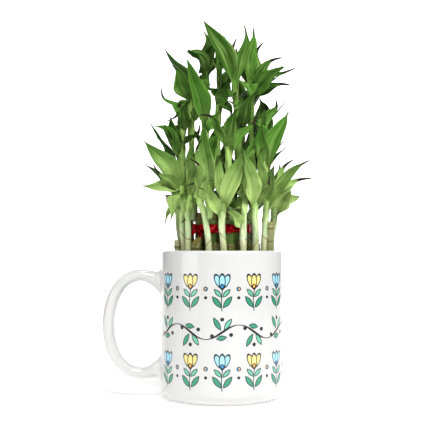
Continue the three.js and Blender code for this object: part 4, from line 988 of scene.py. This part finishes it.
def is_clear(points, along, owner):
    """Whether a leaf's points keep clear of the mug's rim, the canes, the stems and the leaves so far."""
    if np.any((points[:, 2] <= LOWEST_LEAF) & (along >= ROOT_STRETCH)):
        return False
    low, high = points.min(0) - WIDEST_REACH, points.max(0) + WIDEST_REACH
    near = np.all((taken["point"] > low) & (taken["point"] < high), axis=1)
    other = {key: values[near] for key, values in taken.items()}
    gaps = np.linalg.norm(points[:, None] - other["point"][None], axis=2)
    joined = (other["owner"] == owner) & ((along[:, None] < ROOT_STRETCH) | (other["along"] < ROOT_STRETCH))
    return not np.any((gaps < LEAF_REACH + other["reach"]) & ~joined)


def settled(leaf):
    """The leaf in the first place that is clear, or nothing."""
    owner = leaf["shoot"]["order"]
    for shift in ROOT_SHIFTS:
        for step in range(SWINGS):
            trial = swung(leaf, SWING_STEP * math.ceil(step / 2) * (1 if step % 2 else -1), shift)
            rows = math.ceil(1.1 * np.linalg.norm(trial["end"] - trial["root"]) / POINT_PITCH)
            columns = math.ceil(leaf["width"] / POINT_PITCH)
            along = np.arange(rows + 1) / rows
            across = 2 * np.arange(columns + 1) / columns - 1
            centre, side, normal = blade_frame(trial, along)
            half = blade_half(leaf, along)[:, None, None]
            fold = BLADE_FOLD if leaf["width"] > NARROW_BLADE else 0
            points = (centre[:, None] + side[:, None] * half * across[None, :, None]
                      + normal[:, None] * half * fold * abs(across)[None, :, None]).reshape(-1, 3)
            along = np.repeat(along, columns + 1)
            if is_clear(points, along, owner):
                take(points, LEAF_REACH, owner, along)
                return trial
    return None


for order, shoot in enumerate(shoots):
    shoot.setdefault("facing", 90)
    shoot.setdefault("fan", 30)
    shoot["order"] = order
    shoot["place"] = shoot["name"].split("_")[0]
    shoot.setdefault("by_rule", LEAVES_BEHIND[shoot["place"]])
    shoot["line"] = stem_points(shoot)
    along = np.arange(61) / 60
    take(spline(shoot["line"], along)[0], stem_radius(shoot, along) + ROUND_REACH, order, 0)
    x, y, top = shoot["cane"]
    cane_points = np.array([(x, y, z) for z in np.arange(PEBBLE_TOP, top + 0.001, POINT_PITCH)])
    take(cane_points, CANE_RADIUS + ROUND_REACH, -1, 1)
for shoot in shoots:
    shoot["grown"] = [settled(placed_leaf(shoot, *leaf)) for leaf in shoot["leaves"]]
for shoot in shoots:
    shoot["grown"] += [settled(rule_leaf(shoot, index)) for index in range(shoot["by_rule"])]
    shoot["grown"] = [leaf for leaf in shoot["grown"] if leaf]

# The fine leaves are worked out at these shares of the half width, and each sheath in these rows below
# its leaf's root, from -1 at the foot of the sheath up to 0.
ACROSS = np.array([-1, -0.76, -0.48, -0.16, 0, 0.16, 0.48, 0.76, 1])
SHEATH_ROWS = np.linspace(-1, 0, 8)[:-1]


def drawn_half(leaf, along, dry):
    """The finer outline: full in the middle, and drawn out into a thread at the tip, longer where dry."""
    sheath = 0.32 + 0.68 * smooth(along / 0.42)
    fall = np.clip((along - 0.32) / (0.68 - 0.26 * dry), 0, 1)
    thread = 0.36 + (2.2 + dry) * (1 - along)
    return 0.54 * leaf["width"] * sheath * (1 - fall**1.6) + thread * fall


def blade_points(leaf, along, dry, chance):
    """Rows of points over a folded and slightly waved blade, and the way that each row faces."""
    length = np.linalg.norm(leaf["end"] - leaf["root"])
    centre, side, normal = blade_frame(leaf, along)
    half = drawn_half(leaf, along, dry)
    bow = chance.uniform(-2, 2) * np.sin(math.pi * along)
    hook = chance.choice((-1, 1)) * (0.8 + 1.8 * dry) * np.sin(math.pi * np.clip((along - 0.5) / 0.5, 0, 1))
    arch = chance.uniform(-1, 1) * np.sin(2 * math.pi * along)
    centre = centre + side * (bow + hook)[:, None] + normal * (arch + hook * 0.7)[:, None]
    turn = (math.radians(chance.uniform(-32, 32)) * smooth((along - 0.3) / 0.7))[:, None]
    side, normal = side * np.cos(turn) + normal * np.sin(turn), normal * np.cos(turn) - side * np.sin(turn)
    fold = chance.uniform(0.36, 0.75) + 0.35 * (1 - smooth(along / 0.3))
    phase = chance.uniform(0, 6) + 1.4 * np.sign(ACROSS)
    waves = 0.11 * ACROSS**2 * np.sin(along[:, None] * length / 2.8 + phase)
    lift = half[:, None] * (fold[:, None] * np.abs(ACROSS) ** 1.05 + waves)
    points = (centre[:, None] + side[:, None] * (half[:, None] * ACROSS)[:, :, None]
              + normal[:, None] * lift[:, :, None])
    return points, normal


def sheath_points(leaf, rows, stem_length, layers, normal):
    """Rows of points over a sheath, wrapped round the stem and spreading from it above the leaf's root."""
    line = leaf["shoot"]["line"]
    blade_length = np.linalg.norm(leaf["end"] - leaf["root"])
    share = along_at(line, leaf["root"][2])
    sheath_length = min(SHEATH_LENGTH if leaf["width"] > NARROW_BLADE else NARROW_SHEATH,
                        share * stem_length - 1)
    places = share + np.where(rows < 0, rows * sheath_length, rows * blade_length * 0.75) / stem_length
    middle, run = spline(line, np.clip(places, 0, 1))
    run = unit(run)
    middle = middle + run * (np.maximum(places - 1, 0) * stem_length)[:, None]
    keel = unit(unit(leaf["end"] - leaf["root"]) - 0.7 * normal)
    keel = unit(keel - run * (run @ keel)[:, None])
    aside = np.cross(keel, run)
    wrap = np.radians(np.where(rows < 0, 85 - 85 * rows, 85 - 120 * rows.clip(0, 0.3)))
    angles = wrap[:, None] * ACROSS
    radial = np.cos(angles)[:, :, None] * keel[:, None] + np.sin(angles)[:, :, None] * aside[:, None]
    radius = stem_radius(leaf["shoot"], min(share, 1)) * WRAPPED - 0.05
    radius = radius + (0.1 * layers + 0.15) * smooth((rows + 1) * 2)
    radius = radius + np.maximum(rows, 0) * blade_length * 0.25
    return middle[:, None] + radial * radius[:, None, None], radial


def leaf_rings(leaf, stem_length, layers, chance):
    """A sheath wrapped round the stem that opens, above its root, into a blade."""
    dry = 1.0 if leaf["width"] < DRY_WIDTH else chance.uniform(0, 0.6)
    blade_length = np.linalg.norm(leaf["end"] - leaf["root"])
    blade_rows = np.linspace(0, 1, max(18, int(blade_length / LEAF_ROW))) ** 0.92
    blade, normal = blade_points(leaf, blade_rows, dry, chance)
    rows = np.concatenate([SHEATH_ROWS, blade_rows])
    surface, radial = sheath_points(leaf, rows, stem_length, layers, normal[0])
    opened = smooth(blade_rows / 0.3)[:, None, None]
    above = slice(len(SHEATH_ROWS), None)
    up = -radial
    surface[above] = surface[above] * (1 - opened) + blade * opened
    up[above] = unit(up[above] * (1 - opened) + normal[:, None] * opened)
    thick = (0.08 + 0.12 * (1 - ACROSS**2)) * (1 - 0.45 * np.maximum(rows, 0))[:, None]
    upper, lower = surface + up * thick[:, :, None], surface - up * thick[:, :, None]
    rings = [[*over, *under[::-1]] for over, under in zip(upper, lower)]
    # A random tone, held low as painted shade for the leaves that the rule sets at the back of the plant.
    tone_and_back_shade = chance.uniform(0, 0.4) if leaf["tip"] is None else chance.uniform(0.25, 1)
    return rings, dict(along=rows[:, None], across=[*ACROSS, *ACROSS[::-1]], tone=tone_and_back_shade, blade=1.0, dry=dry,
                       under=np.repeat([0, 1], len(ACROSS)))


def shoot_form(shoot):
    """The bare stem, rounded at both ends, with every sheath and blade that grows from it."""
    chance = random.Random(shoot["order"] + 40)
    form = Form("along", "across", "tone", "blade", "dry", "under")
    line = shoot["line"]
    length = np.linalg.norm(np.diff(spline(line, np.linspace(0, 1, 30))[0], axis=0), axis=1).sum()
    ends = np.array([0, 0.4, 1, 2])
    between = np.linspace(3.5 / length, 1 - 4 / length, 34)
    shares = np.concatenate([ends / length, between, 1 - ends[::-1] / length])
    turns = 2 * math.pi * np.arange(STEM_SIDES) / STEM_SIDES
    stem = []
    for share, (centre, tangent) in zip(shares, zip(*spline(line, shares))):
        tangent = unit(tangent)
        first = unit(np.cross(tangent, (0, 1, 0.01)))
        second = np.cross(tangent, first)
        foot = math.sqrt(max(0.05, 1 - max(0, 1 - share * length / 2.2) ** 2))
        tip = 0.12 + 0.88 * smooth((1 - share) * length / 12 + 0.15)
        radius = stem_radius(shoot, share) * WRAPPED * foot * tip
        radius = radius * (1 + 0.03 * np.sin(turns * 3 + share * length * 0.25))
        around = np.outer(radius * np.cos(turns), first) + np.outer(radius * np.sin(turns), second)
        stem.append(centre + around)
    form.add(stem, tube(stem), along=shares[:, None], across=np.cos(turns),
             tone=0.1 + 0.8 * (0.37 * shoot["order"] % 1))
    for leaf in shoot["grown"]:
        height = leaf["root"][2]
        layers = 1 + sum(height < other["root"][2] < height + 12 for other in shoot["grown"])
        rings, known = leaf_rings(leaf, length, layers, chance)
        form.add(rings, tube(rings), **known)
    return form


leaf_green = Finish("Leaf green", specular_ior_level=0.05)
_, y, z = leaf_green.place()
along = leaf_green.fact("along")
across = leaf_green.fact("across")
tone = leaf_green.fact("tone")
dry = leaf_green.fact("dry")
is_blade = leaf_green.fact("blade")
opened = leaf_green.step(along, -0.15, 0.42) * is_blade
clouds = leaf_green.noise(9, detail=3)
streaks = leaf_green.noise(1.6, detail=2, stretch=(1, 1, 9))
fibres = leaf_green.noise(0.7, detail=3, stretch=(1, 1, 12))
stripes = leaf_green.noise(1, detail=3, at=(across * 3.2, along * 1.3, tone * 37))
veins = (across * 34).math("SINE")

midrib = 1 - leaf_green.step(abs(across), 0.02, 0.09)
withered = leaf_green.step(along - (0.94 - dry * 0.2), 0, 0.06) * is_blade
low_leaf = leaf_green.blend(tone, colour(62, 110, 10), colour(224, 246, 166))
high_leaf = leaf_green.blend(tone, colour(4, 34, 0), colour(96, 146, 60))
blade = leaf_green.coats(
    low_leaf,
    (leaf_green.step(z + tone * 22, 132, 194), high_leaf),
    (leaf_green.step(clouds, 0.45, 0.8) * 0.5, colour(30, 74, 12)),
    # The pale streaks are partly the leaves' own stripes and partly a painted highlight in place of gloss.
    (leaf_green.step(stripes, 0.48, 0.66) * 0.26, colour(194, 224, 138)),
    (leaf_green.step(1 - stripes, 0.48, 0.66) * 0.26, colour(24, 66, 6)),
    (leaf_green.step(veins, 0.2, 1) * 0.14, colour(170, 204, 110)),
    (leaf_green.step(along, 0.35, 0.95) * 0.35, colour(44, 96, 12)),
    (midrib * 0.14, colour(196, 218, 140)),
    # Painted shade: the undersides of the blades are darkened.
    (leaf_green.fact("under") * 0.5, colour(22, 56, 8)),
    (withered * (0.3 + dry * 0.7), colour(62, 60, 44)))

husk = 1 - leaf_green.step(z + clouds * 14, 107, 114)
scale_edge = z - 104.5 + across * (tone - 0.45) * 9 + (tone - 0.5) * 9
under_scale = 1 - leaf_green.step(scale_edge, -0.5, 0)
brown_edge = 1 - leaf_green.step(abs(scale_edge), 0.25, 0.9)
sheath_edge = leaf_green.step(abs(across), 0.86, 0.97) * is_blade * (1 - opened)
stem = leaf_green.coats(
    colour(242, 246, 222),
    (leaf_green.step(z, 99, 138), colour(182, 216, 126)),
    (leaf_green.step(z, 155, 215) * 0.8, colour(92, 144, 52)),
    ((1 - tone) * (1 - is_blade) * 0.24, colour(112, 150, 54)),
    (husk * 0.3, colour(150, 138, 78)),
    (leaf_green.step(streaks, 0.45, 0.7) * 0.36, colour(112, 156, 62)),
    (leaf_green.step(stripes, 0.5, 0.66) * 0.45, colour(126, 162, 84)),
    (fibres * 0.3, colour(104, 146, 60)),
    (under_scale * 0.45, colour(222, 220, 172)),
    (brown_edge * (1 - is_blade) * 0.5, colour(122, 98, 48)),
    (sheath_edge * 0.55, colour(226, 224, 176)))

back_shade = leaf_green.step(y, -4, 20)  # painted shade: the back of the plant is darkened as if shadowed by the front
leaf_green.set("Base Color", leaf_green.coats(stem, (opened, blade), (back_shade * 0.6, colour(28, 66, 4))))
leaf_green.set("Roughness", 0.4 + clouds * 0.12 + withered * 0.3)
leaf_green.relief(veins * opened * 0.02 + (fibres + streaks) * (1 - opened) * 0.06 + clouds * 0.06)

for shoot in shoots:
    add_piece("leafy_" + shoot["name"], shoot_form(shoot), leaf_green, "shoot_" + shoot["name"])

# ---------------------------------------------------------------- the table and the light
# A white sweep of paper under and behind the mug, which gives off a soft light of its own as a lit table
# does. Soft lamps stand above, behind and at both sides, the strongest above the camera, which looks level
# from the height of the mug's rim, sixty centimetres in front of it.
PAPER_HALF = 900
PAPER_FRONT = -1500
BEND_START = 900
BEND_RADIUS = 400
BEND_FIRST = -84.27  # degrees, one row on from where the bend starts
PAPER_TOP = 900
paper = Finish("White paper", roughness=0.9, emission_strength=1.0)
paper.set("Base Color", paper.blend(paper.noise(2, detail=4), colour(234, 234, 234), colour(238, 238, 238)))
behind = paper.place()[1]
near = paper.step(behind, -190, -80)
far = paper.step(behind, 60, 900)
lit = paper.blend(near, colour(50, 50, 50), colour(168, 168, 168))
paper.set("Emission Color", paper.blend(far, lit, colour(246, 246, 246)))
paper.relief(paper.noise(1.2) * 0.02)
profile = [(PAPER_FRONT, 0), (-400, 0), (300, 0), (BEND_START, 0)]
profile += arc(BEND_START, BEND_RADIUS, BEND_RADIUS, BEND_FIRST, 0, 13)
profile += [(BEND_START + BEND_RADIUS, PAPER_TOP)]
sweep = Form()
corners = [(x, y, z) for y, z in profile for x in (-PAPER_HALF, PAPER_HALF)]
sweep.add(corners, [[2 * k, 2 * k + 1, 2 * k + 3, 2 * k + 2] for k in range(len(profile) - 1)])
make_thing("paper_sweep", sweep, paper)

AIM = Vector((0, 0, 0.13))  # this and what follows in metres, and each lamp's size and watts
for name, place, size, power in (
        ("key", (0.12, -0.72, 1.0), 0.3, 11.4), ("side", (0.62, -0.42, 0.72), 0.25, 4),
        ("fill", (-1.0, -0.55, 0.3), 0.7, 3.4), ("top", (0.1, 0.3, 1.1), 0.5, 3.5)):
    lamp = bpy.data.lights.new(name, "AREA")
    lamp.size = size
    lamp.energy = power
    light = put(name, lamp)
    light.location = place
    light.rotation_euler = (AIM - Vector(place)).to_track_quat("-Z", "Y").to_euler()
sky = bpy.data.worlds.new("Studio")
sky.use_nodes = True
sky.node_tree.nodes["Background"].inputs["Color"].default_value = colour(255, 255, 255)
sky.node_tree.nodes["Background"].inputs["Strength"].default_value = 0.1
bpy.context.scene.world = sky

lens = bpy.data.cameras.new("camera")
lens.sensor_width = 36
lens.lens = 75.2
lens.shift_x = -0.0167
lens.shift_y = 0.0826
lens.clip_start = 0.05
lens.clip_end = 20
camera = put("camera", lens)
camera.location = (0, -0.6, MUG_HEIGHT * MM)
camera.rotation_euler = (math.pi / 2, 0, 0)
bpy.context.scene.camera = camera
bpy.context.scene.view_settings.view_transform = "Standard"
bpy.context.scene.view_settings.gamma = 0.86
